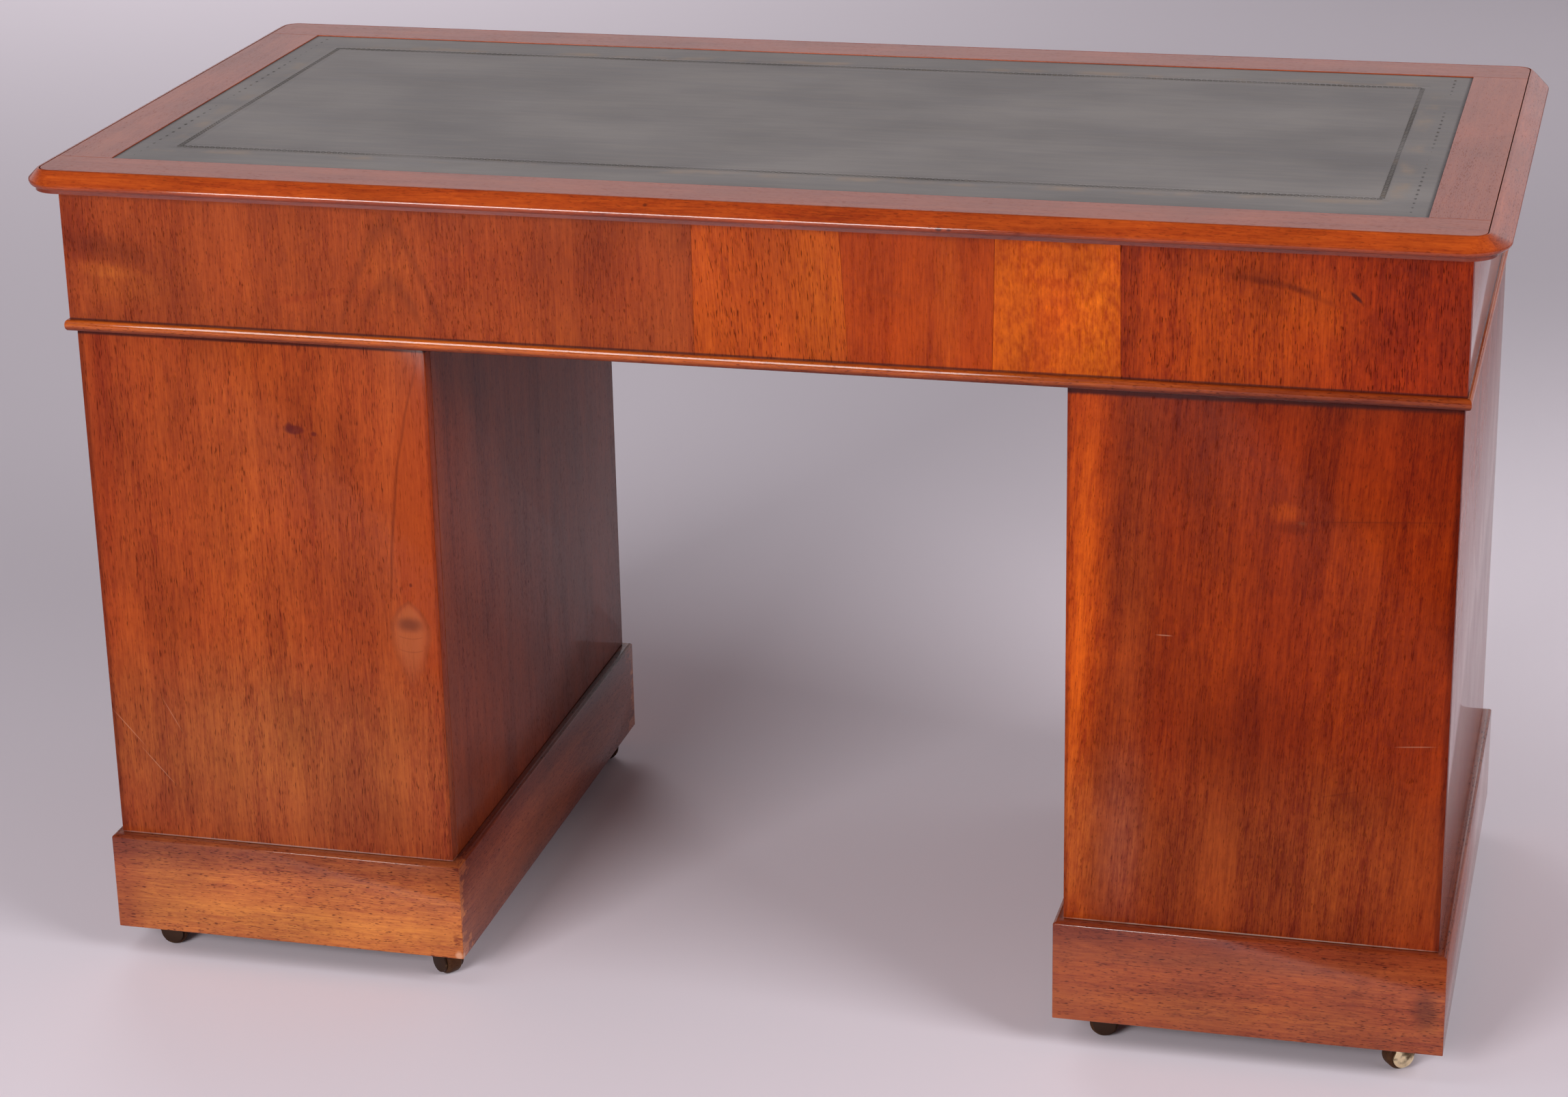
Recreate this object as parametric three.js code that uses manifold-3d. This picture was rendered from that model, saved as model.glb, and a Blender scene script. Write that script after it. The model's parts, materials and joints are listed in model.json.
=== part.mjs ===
// Kneehole desk: a leather-topped writing table on two drawer pedestals, with castors under the plinths.
// Millimetres, +Z up. The origin is on the floor under the middle of the desk.
// The drawers face -Y and the plain veneered back faces +Y. Left (-X) and right (+X) are the sitter's.

import * as THREE from 'three';
import { mergeVertices } from 'three/addons/utils/BufferGeometryUtils.js';
import Module from 'manifold-3d';

const wasm = await Module();
wasm.setup();

// Overall sizes
const deskHeight = 762;
const friezeWidth = 1214;
const friezeDepth = 558;
const friezeHeight = 130;
const topThickness = 20;
const topOverhang = 29;
const shadowGap = 2.7;
const pedestalWidth = 324;
const pedestalSideInset = 2;
const pedestalFaceInset = 8;
const plinthHeight = 94;
const floorClearance = 28;

// Clearances: between glued or resting pieces, and how far a cutting solid runs past what it cuts
const seatGap = 0.3;
const cutOverrun = 5;

// Top: leather let in between the banding boards, inside a moulded edge
const leatherThickness = 2.5;
const bandingEndWidth = 50;
const bandingSideWidth = 49.5;
const bandingThickness = 3;
const mouldingWidth = 8.5;
const mouldingEndWidth = 18;
const mouldingCornerRadius = 24;
const mouldingFilletHeight = 4;
const mouldingFilletSetback = 5;
const mouldingSlopeDegrees = 32;
const mouldingNoseRadius = 4;
const mouldingNoseSteps = 6;
const mouldingCrestRadius = 1.6;
const mouldingCrestSteps = 4;
const mouldingCornerSteps = 8;

// Frieze
const friezeBoardThickness = 18;
const friezeFrameThickness = 18;
const friezeBottomRailHeight = 14;
const friezeTopRailHeight = 18;
const dividerWidth = 18;
const beadHeight = 9.7;
const beadProjection = 4;
const beadShoulder = 1.6;
const beadDegrees = [-90, 90];
const beadSteps = 8;

// Pedestal case and back
const caseBoardThickness = 16;
const backPanelThickness = 14;
const drawerRailHeight = 16;
const drawerRailDepth = 60;
const runnerWidth = 14;
const drawerHeightShares = [0.29, 0.33, 0.38];
const drawerLevels = ['upper', 'middle', 'lower'];
const padInset = 20;
const pegRadius = 6;
const pegHeight = 8;
const pegGap = 0.4;
const pegSpreadShare = 0.35;
const pegSides = 12;

// Drawers
const frontThickness = 20;
const frontGap = 1;
const boxSideGap = 1;
const boxLift = 0.4;
const boxWall = 9;
const boxBottomThickness = 6;
const boxHeightShare = 0.84;
const boxBackDrop = 8;
const boxBackClearance = 16;

// Turned knob, with its spigot let into the drawer front
const knobRadius = 17;
const knobProjection = 26;
const knobFootRadius = 12;
const knobFootHeight = 4;
const knobNeckRadius = 8;
const knobNeckShare = 0.4;
const knobRimShare = 0.66;
const knobCrownShare = 0.62;
const knobSides = 20;
const spigotRadius = 5;
const spigotCover = 6;
const spigotGap = 0.3;
const wideKnobShare = 0.29;

// Plinth
const plinthProjection = 8;
const plinthBoardThickness = 14;
const plinthLipHeight = 3;
const plinthLipDegrees = [0, 90];
const plinthLipSteps = 6;
const blockWall = 16;
const blockHeightShare = 0.6;
const stemShare = 0.7;

// Castors: a roller on a pin between brass horns, swivelling on a stem
const wheelRadius = 13.2;
const wheelWidth = 15;
const wheelEdge = 3;
const wheelSides = 24;
const pinRadius = 2.6;
const pinGap = 0.3;
const pinSides = 10;
const castorTrail = 9;
const hornThickness = 2.4;
const hornGap = 0.5;
const hornRadius = 10;
const hornSteps = 8;
const hornFrontShare = 0.3;
const crownGap = 1.5;
const crownThickness = 4;
const collarRadius = 9;
const collarHeight = 1.6;
const collarSides = 16;
const stemRadius = 5;
const stemGap = 0.4;
const stemSides = 10;
const swivelGap = 0.4;
const swingGap = 1.5;

// A pedestal's corners: outwards or inwards, and backwards or forwards
const pedestalCorners = [
  ['front_outer', 1, -1],
  ['front_inner', -1, -1],
  ['back_outer', 1, 1],
  ['back_inner', -1, 1],
];

// Degrees from +X to which each castor's wheel trails, in the order of the corners above
const castorHeadings = { left: [250, 25, 35, 190], right: [310, 200, 185, 145] };

// Levels worked out from the sizes above
const topUnderside = deskHeight - topThickness;
const friezeBottom = topUnderside - friezeHeight;
const friezeTop = topUnderside - seatGap;
const plinthTop = floorClearance + plinthHeight;
const caseBottom = plinthTop + seatGap;
const caseTop = friezeBottom - shadowGap;
const friezeDrawerFloor = friezeBottom + friezeBottomRailHeight;
const friezeDrawerCeiling = friezeTop - friezeTopRailHeight;

// Plan positions worked out from the sizes above
const friezeBack = friezeDepth / 2;
const friezeFront = -friezeDepth / 2;
const pedestalDepth = friezeDepth - 2 * pedestalFaceInset;
const pedestalBack = pedestalDepth / 2;
const pedestalFront = -pedestalDepth / 2;
const pedestalCentre = friezeWidth / 2 - pedestalSideInset - pedestalWidth / 2;
const pedestalInner = pedestalCentre - pedestalWidth / 2;

// What the knob's spigot reaches into the drawer front
const spigotLength = frontThickness - spigotCover;

// Castor sizes worked out from the sizes above
const hornOuter = wheelWidth / 2 + hornGap + hornThickness;
const crownBottom = 2 * wheelRadius + crownGap;
const crownTop = crownBottom + crownThickness;
const castorTop = crownTop + collarHeight;
const blockBottom = castorTop + swivelGap;
const blockHeight = (plinthTop - blockBottom) * blockHeightShare;
const stemLength = blockHeight * stemShare;
const hornFront = castorTrail + hornRadius * hornFrontShare;
const hornLean = (castorTrail + hornRadius - hornFront) / (crownTop - wheelRadius);
// The wheels turn under the plinth's boards, but what is higher than their lower edge turns inside them
const swingFront = hornFront + hornLean * (crownTop - floorClearance);
const swingRadius = Math.hypot(swingFront, hornOuter);
const pivotInset = plinthBoardThickness + swingRadius + swingGap;

function finish(color, roughness, metalness = 0) {
  return new THREE.MeshStandardMaterial({ color, roughness, metalness });
}

const mahogany = finish(0x6f3218, 0.3);
const paleMahogany = finish(0x8a4a26, 0.45);
const leather = finish(0x39423c, 0.55);
const drawerWood = finish(0x9a6a42, 0.6);
const brass = finish(0xb08d4a, 0.35, 1);
const rollerWood = finish(0x2a1a14, 0.5);

// A box between two corners
function board(x0, x1, y0, y1, z0, z1) {
  const box = new THREE.BoxGeometry(x1 - x0, y1 - y0, z1 - z0);
  return box.translate((x0 + x1) / 2, (y0 + y1) / 2, (z0 + z1) / 2);
}

// A round bar standing on z0, centred on x, y
function roundBar(x, y, z0, z1, radius, sides) {
  const bar = new THREE.CylinderGeometry(radius, radius, z1 - z0, sides);
  return bar.rotateX(Math.PI / 2).translate(x, y, (z0 + z1) / 2);
}

// A closed geometry as a solid that can be joined and cut
function solidOf(geometry) {
  const bare = geometry.index ? geometry.clone() : mergeVertices(geometry);
  bare.deleteAttribute('normal');
  bare.deleteAttribute('uv');
  const merged = mergeVertices(bare);
  const corners = merged.index.array;
  const faces = [];
  for (let i = 0; i < corners.length; i += 3) {
    const [a, b, c] = [corners[i], corners[i + 1], corners[i + 2]];
    if (a !== b && b !== c && c !== a) faces.push(a, b, c);
  }
  const vertProperties = merged.attributes.position.array;
  const triVerts = Uint32Array.from(faces);
  return new wasm.Manifold(new wasm.Mesh({ numProp: 3, vertProperties, triVerts }));
}

function geometryOf(solid) {
  const shape = solid.getMesh();
  const geometry = new THREE.BufferGeometry();
  const points = Float32Array.from(shape.vertProperties);
  geometry.setAttribute('position', new THREE.BufferAttribute(points, shape.numProp));
  geometry.setIndex(new THREE.BufferAttribute(Uint32Array.from(shape.triVerts), 1));
  geometry.computeVertexNormals();
  return geometry;
}

// Adds the first list of geometries together and takes the second list away
function carve(added, removed = []) {
  const whole = added.map(solidOf).reduce((sum, next) => sum.add(next));
  return geometryOf(removed.map(solidOf).reduce((rest, next) => rest.subtract(next), whole));
}

// Two ends of a range, the lower first
function ordered(a, b) {
  return [Math.min(a, b), Math.max(a, b)];
}

function addPiece(parent, name, geometry, material) {
  const mesh = new THREE.Mesh(geometry, material);
  mesh.name = name;
  parent.add(mesh);
  return mesh;
}

// Corner points of a rectangle's outline, each with the direction in which an offset moves it
function outlinePath(halfX, halfY, radius, steps) {
  const path = [];
  const corners = [[1, 1], [-1, 1], [-1, -1], [1, -1]];
  corners.forEach(([sx, sy], quarter) => {
    if (radius === 0) {
      path.push({ x: sx * halfX, y: sy * halfY, dx: sx, dy: sy });
      return;
    }
    for (let step = 0; step <= steps; step += 1) {
      const angle = (quarter + step / steps) * Math.PI / 2;
      const [dx, dy] = [Math.cos(angle), Math.sin(angle)];
      path.push({ x: sx * (halfX - radius) + radius * dx, y: sy * (halfY - radius) + radius * dy, dx, dy });
    }
  });
  return path;
}

// A closed ring: the profile, a loop of [outward offset, height] points, carried round the outline
function profileRing(halfX, halfY, radius, steps, profile, endShare = 1) {
  const path = outlinePath(halfX, halfY, radius, steps);
  const positions = [];
  const faces = [];
  path.forEach(({ x, y, dx, dy }) => {
    profile.forEach(([out, z]) => positions.push(x + out * endShare * dx, y + out * dy, z));
  });
  const count = profile.length;
  path.forEach((_, i) => {
    const here = i * count;
    const next = ((i + 1) % path.length) * count;
    profile.forEach((__, j) => {
      const k = (j + 1) % count;
      faces.push(here + j, next + j, next + k);
      faces.push(here + j, next + k, here + k);
    });
  });
  const geometry = new THREE.BufferGeometry();
  geometry.setAttribute('position', new THREE.Float32BufferAttribute(positions, 3));
  geometry.setIndex(faces);
  geometry.computeVertexNormals();
  return geometry;
}

// Points on a round or oval arc, from one angle to another in degrees
function arcPoints([centreX, centreY], [radiusX, radiusY], [from, to], steps) {
  return Array.from({ length: steps + 1 }, (_, i) => {
    const angle = THREE.MathUtils.degToRad(from + (to - from) * i / steps);
    return [centreX + radiusX * Math.cos(angle), centreY + radiusY * Math.sin(angle)];
  });
}

function topUnit() {
  const group = new THREE.Group();
  const lineX = friezeWidth / 2 + topOverhang - mouldingEndWidth;
  const lineY = friezeDepth / 2 + topOverhang - mouldingWidth;
  const lineRadius = mouldingCornerRadius - mouldingWidth;
  const bandingBottom = deskHeight - bandingThickness;

  const slab = (z0, z1) => roundedSlab(lineX - seatGap, lineY - seatGap, lineRadius, z0, z1);
  addPiece(group, 'top_board', slab(topUnderside, bandingBottom - seatGap), paleMahogany);

  const recessX = lineX - bandingEndWidth;
  const recessY = lineY - bandingSideWidth;
  const recessZ = [bandingBottom - cutOverrun, deskHeight + cutOverrun];
  const recess = board(-recessX, recessX, -recessY, recessY, ...recessZ);
  addPiece(group, 'top_banding', carve([slab(bandingBottom, deskHeight)], [recess]), mahogany);

  const x = recessX - seatGap;
  const y = recessY - seatGap;
  const skiver = board(-x, x, -y, y, bandingBottom, bandingBottom + leatherThickness);
  addPiece(group, 'top_leather', skiver, leather);

  const filletOut = mouldingWidth - mouldingFilletSetback;
  const filletTop = topUnderside + mouldingFilletHeight;
  // A thumb: a small crest, a straight slope that touches both of its arcs, and the nose
  const slope = THREE.MathUtils.degToRad(mouldingSlopeDegrees);
  const noseOut = mouldingWidth - mouldingNoseRadius;
  const crestLevel = deskHeight - mouldingCrestRadius;
  const smaller = mouldingCrestRadius - mouldingNoseRadius;
  const noseLevel = crestLevel + (smaller - noseOut * Math.cos(slope)) / Math.sin(slope);
  const noseStart = THREE.MathUtils.radToDeg(Math.asin((filletTop - noseLevel) / mouldingNoseRadius));
  const noseRadii = [mouldingNoseRadius, mouldingNoseRadius];
  const crestRadii = [mouldingCrestRadius, mouldingCrestRadius];
  const profile = [
    [0, topUnderside],
    [filletOut, topUnderside],
    [filletOut, filletTop],
    ...arcPoints([noseOut, noseLevel], noseRadii, [noseStart, mouldingSlopeDegrees], mouldingNoseSteps),
    ...arcPoints([0, crestLevel], crestRadii, [mouldingSlopeDegrees, 90], mouldingCrestSteps),
  ];
  const endShare = mouldingEndWidth / mouldingWidth;
  const edging = profileRing(lineX, lineY, lineRadius, mouldingCornerSteps, profile, endShare);
  addPiece(group, 'top_edge_moulding', edging, mahogany);
  return group;
}

// A flat slab with rounded corners
function roundedSlab(halfX, halfY, radius, z0, z1) {
  const path = outlinePath(halfX, halfY, radius, mouldingCornerSteps);
  const outline = path.map(({ x, y }) => new THREE.Vector2(x, y));
  const slab = new THREE.ExtrudeGeometry(new THREE.Shape(outline), { depth: z1 - z0, bevelEnabled: false });
  return slab.translate(0, 0, z0);
}

// The three frieze drawer bays, from the sitter's left to right
function friezeBays() {
  const end = friezeWidth / 2 - friezeBoardThickness;
  const divider = pedestalInner + dividerWidth;
  const bay = (name, x0, x1, knobShares) => ({
    name, x0, x1, knobShares, z0: friezeDrawerFloor, z1: friezeDrawerCeiling,
    face: friezeFront, back: friezeBack - friezeBoardThickness,
  });
  return [
    bay('frieze_left_drawer', -end, -divider, [0]),
    bay('frieze_centre_drawer', -pedestalInner, pedestalInner, [-wideKnobShare, wideKnobShare]),
    bay('frieze_right_drawer', divider, end, [0]),
  ];
}

function friezeUnit() {
  const group = new THREE.Group();
  const halfWidth = friezeWidth / 2;
  const endInner = halfWidth - friezeBoardThickness;
  const backInner = friezeBack - friezeBoardThickness;
  const frameInner = friezeFront + friezeFrameThickness;

  const back = board(-halfWidth, halfWidth, backInner, friezeBack, friezeBottom, friezeTop);
  addPiece(group, 'frieze_back', back, mahogany);
  [['left', -1], ['right', 1]].forEach(([side, sign]) => {
    const endX = ordered(sign * halfWidth, sign * endInner);
    const end = board(...endX, frameInner + seatGap, backInner - seatGap, friezeBottom, friezeTop);
    addPiece(group, `frieze_end_${side}`, end, mahogany);
  });

  const frame = board(-halfWidth, halfWidth, friezeFront, frameInner, friezeBottom, friezeTop);
  const windowY = [friezeFront - cutOverrun, frameInner + cutOverrun];
  const windows = friezeBays().map(({ x0, x1, z0, z1 }) => board(x0, x1, ...windowY, z0, z1));
  addPiece(group, 'frieze_front_frame', carve([frame], windows), mahogany);

  const bedX = endInner - seatGap;
  const bedY = [frameInner + seatGap, backInner - seatGap];
  const bed = [board(-bedX, bedX, ...bedY, friezeBottom, friezeDrawerFloor)];
  const sockets = [];
  const socketZ = [friezeBottom - cutOverrun, friezeBottom + pegHeight];
  [-1, 1].forEach((sign) => {
    const x = ordered(sign * pedestalInner, sign * (pedestalInner + dividerWidth));
    bed.push(board(...x, ...bedY, friezeBottom, friezeTop));
    pegPlaces().forEach((y) => {
      sockets.push(roundBar(sign * pedestalCentre, y, ...socketZ, pegRadius + pegGap, pegSides));
    });
  });
  addPiece(group, 'frieze_runner_bed', carve(bed, sockets), drawerWood);

  const beadCentre = [beadShoulder, friezeBottom + beadHeight / 2];
  const beadRadii = [beadProjection - beadShoulder, beadHeight / 2];
  const beadProfile = [
    [seatGap, friezeBottom],
    ...arcPoints(beadCentre, beadRadii, beadDegrees, beadSteps),
    [seatGap, friezeBottom + beadHeight],
  ];
  addPiece(group, 'frieze_bead', profileRing(halfWidth, friezeDepth / 2, 0, 0, beadProfile), mahogany);
  return group;
}

function pegPlaces() {
  return [-pegSpreadShare * pedestalDepth, pegSpreadShare * pedestalDepth];
}

// The three drawer bays of a pedestal, from the top down, in the pedestal's own frame
function pedestalBays(side) {
  const floor = caseBottom + caseBoardThickness;
  const ceiling = caseTop - caseBoardThickness;
  const free = ceiling - floor - (drawerHeightShares.length - 1) * drawerRailHeight;
  const shareSum = drawerHeightShares.reduce((sum, share) => sum + share);
  const inner = pedestalWidth / 2 - caseBoardThickness;
  let z1 = ceiling;
  return drawerHeightShares.map((share, i) => {
    const z0 = z1 - free * share / shareSum;
    const bay = {
      name: `pedestal_${side}_${drawerLevels[i]}_drawer`, x0: -inner, x1: inner, z0, z1, knobShares: [0],
      face: pedestalFront, back: pedestalBack - backPanelThickness - seatGap,
    };
    z1 = z0 - drawerRailHeight;
    return bay;
  });
}

function pedestal(side, sign) {
  const group = new THREE.Group();
  group.position.x = sign * pedestalCentre;
  const half = pedestalWidth / 2;
  const inner = half - caseBoardThickness;
  const caseBack = pedestalBack - backPanelThickness - seatGap;
  const bays = pedestalBays(side);

  const topBoardZ = [caseTop - caseBoardThickness, caseTop];
  const padX = half - padInset;
  const padY = [pedestalFront + padInset, caseBack - padInset];
  const boards = [
    board(-half, -inner, pedestalFront, caseBack, caseBottom, caseTop),
    board(inner, half, pedestalFront, caseBack, caseBottom, caseTop),
    board(-half, half, pedestalFront, caseBack, caseBottom, caseBottom + caseBoardThickness),
    board(-half, half, pedestalFront, caseBack, ...topBoardZ),
    board(-padX, padX, ...padY, topBoardZ[0], friezeBottom - seatGap),
  ];
  bays.slice(0, -1).forEach(({ z0 }) => {
    const level = [z0 - drawerRailHeight, z0];
    boards.push(board(-half, half, pedestalFront, pedestalFront + drawerRailDepth, ...level));
    boards.push(board(-half, -inner + runnerWidth, pedestalFront, caseBack, ...level));
    boards.push(board(inner - runnerWidth, half, pedestalFront, caseBack, ...level));
  });
  pegPlaces().forEach((y) => {
    boards.push(roundBar(0, y, topBoardZ[0], friezeBottom + pegHeight - pegGap, pegRadius, pegSides));
  });
  addPiece(group, `pedestal_${side}_case`, carve(boards), mahogany);

  const panel = board(-half, half, pedestalBack - backPanelThickness, pedestalBack, caseBottom, caseTop);
  addPiece(group, `pedestal_${side}_back`, panel, mahogany);
  addPiece(group, `pedestal_${side}_plinth`, plinth(), mahogany);
  castorPlaces(side, sign).forEach((place) => group.add(castor(place)));
  bays.forEach((bay) => group.add(drawer(bay)));
  return group;
}

// Where the castors of one pedestal stand, in the pedestal's own frame
function castorPlaces(side, sign) {
  const x = pedestalWidth / 2 + plinthProjection - pivotInset;
  const y = pedestalDepth / 2 + plinthProjection - pivotInset;
  return pedestalCorners.map(([corner, outwards, backwards], i) => ({
    name: `castor_${side}_${corner}`,
    x: sign * outwards * x,
    y: backwards * y,
    heading: THREE.MathUtils.degToRad(castorHeadings[side][i]),
  }));
}

// Mitred plinth boards with a corner block over each castor, bored for its stem
function plinth() {
  const innerOut = plinthProjection - plinthBoardThickness;
  const lipCentre = [0, plinthTop - plinthLipHeight];
  const profile = [
    [innerOut, floorClearance],
    [plinthProjection, floorClearance],
    ...arcPoints(lipCentre, [plinthProjection, plinthLipHeight], plinthLipDegrees, plinthLipSteps),
    [innerOut, plinthTop],
  ];
  const pieces = [profileRing(pedestalWidth / 2, pedestalDepth / 2, 0, 0, profile)];
  const holes = [];
  const outerX = pedestalWidth / 2 + plinthProjection - plinthBoardThickness / 2;
  const outerY = pedestalDepth / 2 + plinthProjection - plinthBoardThickness / 2;
  const holeRadius = stemRadius + stemGap;
  const holeZ = [blockBottom - cutOverrun, castorTop + stemLength + stemGap];
  const reach = holeRadius + blockWall;
  castorPlaces('left', 1).forEach(({ x, y }) => {
    const blockX = ordered(Math.sign(x) * outerX, x - Math.sign(x) * reach);
    const blockY = ordered(Math.sign(y) * outerY, y - Math.sign(y) * reach);
    pieces.push(board(...blockX, ...blockY, blockBottom, blockBottom + blockHeight));
    holes.push(roundBar(x, y, ...holeZ, holeRadius, stemSides));
  });
  return carve(pieces, holes);
}

function castor({ name, x, y, heading }) {
  const group = new THREE.Group();
  group.position.set(x, y, 0);
  group.rotation.z = heading;
  addPiece(group, `${name}_fork`, castorFork(), brass);
  const roller = addPiece(group, `${name}_wheel`, castorWheel(), rollerWood);
  roller.position.set(castorTrail, 0, wheelRadius);
  return group;
}

// Two horns under a crown, with the stem above and the wheel's pin between the horns
function castorFork() {
  const outline = new THREE.Shape();
  outline.moveTo(-collarRadius, crownTop);
  outline.lineTo(-collarRadius, crownBottom);
  outline.lineTo(castorTrail - hornRadius, wheelRadius);
  outline.absarc(castorTrail, wheelRadius, hornRadius, Math.PI, 2 * Math.PI, false);
  outline.lineTo(hornFront, crownTop);
  const sheet = { depth: hornThickness, bevelEnabled: false, curveSegments: hornSteps };
  const horn = (y) => new THREE.ExtrudeGeometry(outline, sheet).rotateX(Math.PI / 2).translate(0, y, 0);
  const pin = new THREE.CylinderGeometry(pinRadius, pinRadius, 2 * hornOuter - hornThickness, pinSides);
  return carve([
    horn(hornThickness - hornOuter),
    horn(hornOuter),
    board(-collarRadius, hornFront, -hornOuter, hornOuter, crownBottom, crownTop),
    roundBar(0, 0, crownBottom, castorTop, collarRadius, collarSides),
    roundBar(0, 0, crownBottom, castorTop + stemLength, stemRadius, stemSides),
    pin.translate(castorTrail, 0, wheelRadius),
  ]);
}

// A roller about its own Y axis, standing on one of its flat sides
function castorWheel() {
  const halfSide = Math.PI / wheelSides;
  const rim = wheelRadius / Math.cos(halfSide);
  const bore = pinRadius + pinGap;
  const half = wheelWidth / 2;
  const loop = [
    [bore, -half],
    [rim - wheelEdge, -half],
    [rim, wheelEdge - half],
    [rim, half - wheelEdge],
    [rim - wheelEdge, half],
    [bore, half],
    [bore, -half],
  ].map(([r, y]) => new THREE.Vector2(r, y));
  return carve([new THREE.LatheGeometry(loop, wheelSides, halfSide)]);
}

// A drawer in its bay: the front, the box behind it and the knobs
function drawer({ name, x0, x1, z0, z1, face, back, knobShares }) {
  const group = new THREE.Group();
  group.position.set((x0 + x1) / 2, face, z0);
  const halfFront = (x1 - x0) / 2 - frontGap;
  const halfBox = (x1 - x0) / 2 - boxSideGap;
  const bayHeight = z1 - z0;
  const middle = bayHeight / 2;
  const knobPlaces = knobShares.map((share) => share * (x1 - x0));

  const front = board(-halfFront, halfFront, 0, frontThickness, frontGap, bayHeight - frontGap);
  const socketRadius = spigotRadius + spigotGap;
  const socketEnd = spigotLength + spigotGap;
  const socket = [[0, -cutOverrun], [socketRadius, -cutOverrun], [socketRadius, socketEnd], [0, socketEnd]];
  const sockets = knobPlaces.map((x) => turning(socket).translate(x, 0, middle));
  addPiece(group, `${name}_front`, carve([front], sockets), mahogany);

  const boxFront = frontThickness + seatGap;
  const boxBack = back - face - boxBackClearance;
  const boxTop = boxLift + (bayHeight - boxLift) * boxHeightShare;
  const innerX = halfBox - boxWall;
  const hollowY = [boxFront + boxWall, boxBack - boxWall];
  const notchY = [hollowY[1] - cutOverrun, boxBack + cutOverrun];
  const blank = board(-halfBox, halfBox, boxFront, boxBack, boxLift, boxTop);
  const hollow = board(-innerX, innerX, ...hollowY, boxLift + boxBottomThickness, boxTop + cutOverrun);
  const notch = board(-innerX, innerX, ...notchY, boxTop - boxBackDrop, boxTop + cutOverrun);
  addPiece(group, `${name}_box`, carve([blank], [hollow, notch]), drawerWood);

  const knobNames = knobPlaces.length === 1 ? ['knob'] : ['knob_left', 'knob_right'];
  knobPlaces.forEach((x, i) => {
    const knob = addPiece(group, `${name}_${knobNames[i]}`, turnedKnob(), mahogany);
    knob.position.set(x, 0, middle);
  });
  return group;
}

// A turned solid about Y: the profile is a list of [radius, y] points
function turning(profile) {
  return new THREE.LatheGeometry(profile.map(([r, y]) => new THREE.Vector2(r, y)), knobSides);
}

// The knob stands out towards -Y, and its foot bears on the drawer front at y = 0
function turnedKnob() {
  const foot = -seatGap - knobFootHeight;
  const neck = -knobProjection * knobNeckShare;
  const rim = -knobProjection * knobRimShare;
  const profile = [
    [0, -knobProjection],
    [knobRadius * knobCrownShare, -knobProjection + (knobProjection + rim) * (1 - knobCrownShare)],
    [knobRadius, rim],
    [knobNeckRadius, neck],
    [knobNeckRadius, foot],
    [knobFootRadius, foot + knobFootHeight / 2],
    [knobFootRadius, -seatGap],
    [spigotRadius, -seatGap],
    [spigotRadius, spigotLength],
    [0, spigotLength],
  ];
  return carve([turning(profile)]);
}

const desk = new THREE.Group();
desk.add(topUnit());
desk.add(friezeUnit());
friezeBays().forEach((bay) => desk.add(drawer(bay)));
desk.add(pedestal('left', -1));
desk.add(pedestal('right', 1));

export default desk;
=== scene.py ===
"""A kneehole desk dressed for its portrait: French-polished mahogany, tooled leather and brass castors.

Metres, +Z up, with the origin on the floor under the middle of the desk. The drawers face -Y and the
plain veneered back faces +Y, so the sitter's left is -X.
"""

import json
import logging
import math
from dataclasses import dataclass
from enum import Enum
from typing import Sequence

import bmesh
import bpy
import numpy as np
from mathutils import Euler, Matrix, Vector

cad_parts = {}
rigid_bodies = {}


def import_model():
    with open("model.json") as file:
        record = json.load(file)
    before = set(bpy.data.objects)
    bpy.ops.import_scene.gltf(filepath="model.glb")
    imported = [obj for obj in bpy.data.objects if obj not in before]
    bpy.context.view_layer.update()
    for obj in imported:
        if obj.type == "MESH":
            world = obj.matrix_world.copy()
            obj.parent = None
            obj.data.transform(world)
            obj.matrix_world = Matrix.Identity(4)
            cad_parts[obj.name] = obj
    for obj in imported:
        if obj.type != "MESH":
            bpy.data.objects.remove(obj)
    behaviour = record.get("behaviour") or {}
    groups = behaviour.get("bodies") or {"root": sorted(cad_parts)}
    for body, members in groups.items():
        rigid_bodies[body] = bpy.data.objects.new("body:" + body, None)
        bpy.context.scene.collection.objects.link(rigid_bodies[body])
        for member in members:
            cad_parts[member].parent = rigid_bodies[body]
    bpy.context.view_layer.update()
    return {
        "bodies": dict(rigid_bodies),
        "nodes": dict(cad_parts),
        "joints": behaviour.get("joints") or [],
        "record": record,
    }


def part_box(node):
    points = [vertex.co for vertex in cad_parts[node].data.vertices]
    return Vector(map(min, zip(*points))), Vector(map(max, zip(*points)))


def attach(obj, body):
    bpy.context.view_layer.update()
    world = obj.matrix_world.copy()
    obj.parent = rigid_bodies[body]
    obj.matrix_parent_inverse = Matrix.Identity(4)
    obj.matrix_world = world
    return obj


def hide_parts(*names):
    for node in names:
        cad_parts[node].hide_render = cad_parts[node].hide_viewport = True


MM = 0.001
TINY = 0.01 * MM

# The angles in degrees at which the shading of folded, turned and pressed pieces breaks
FOLDED_SHARP = 40
TURNED_SHARP = 50
PRESSED_SHARP = 80

log = logging.getLogger("kneehole_desk")

Colour = tuple[float, float, float]
Point = tuple[float, float]
Input = object


def rgba(colour: Colour) -> tuple[float, float, float, float]:
    """A colour with full opacity, as the nodes' colour sockets take it."""
    return (*colour, 1.0)


# Node trees


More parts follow.
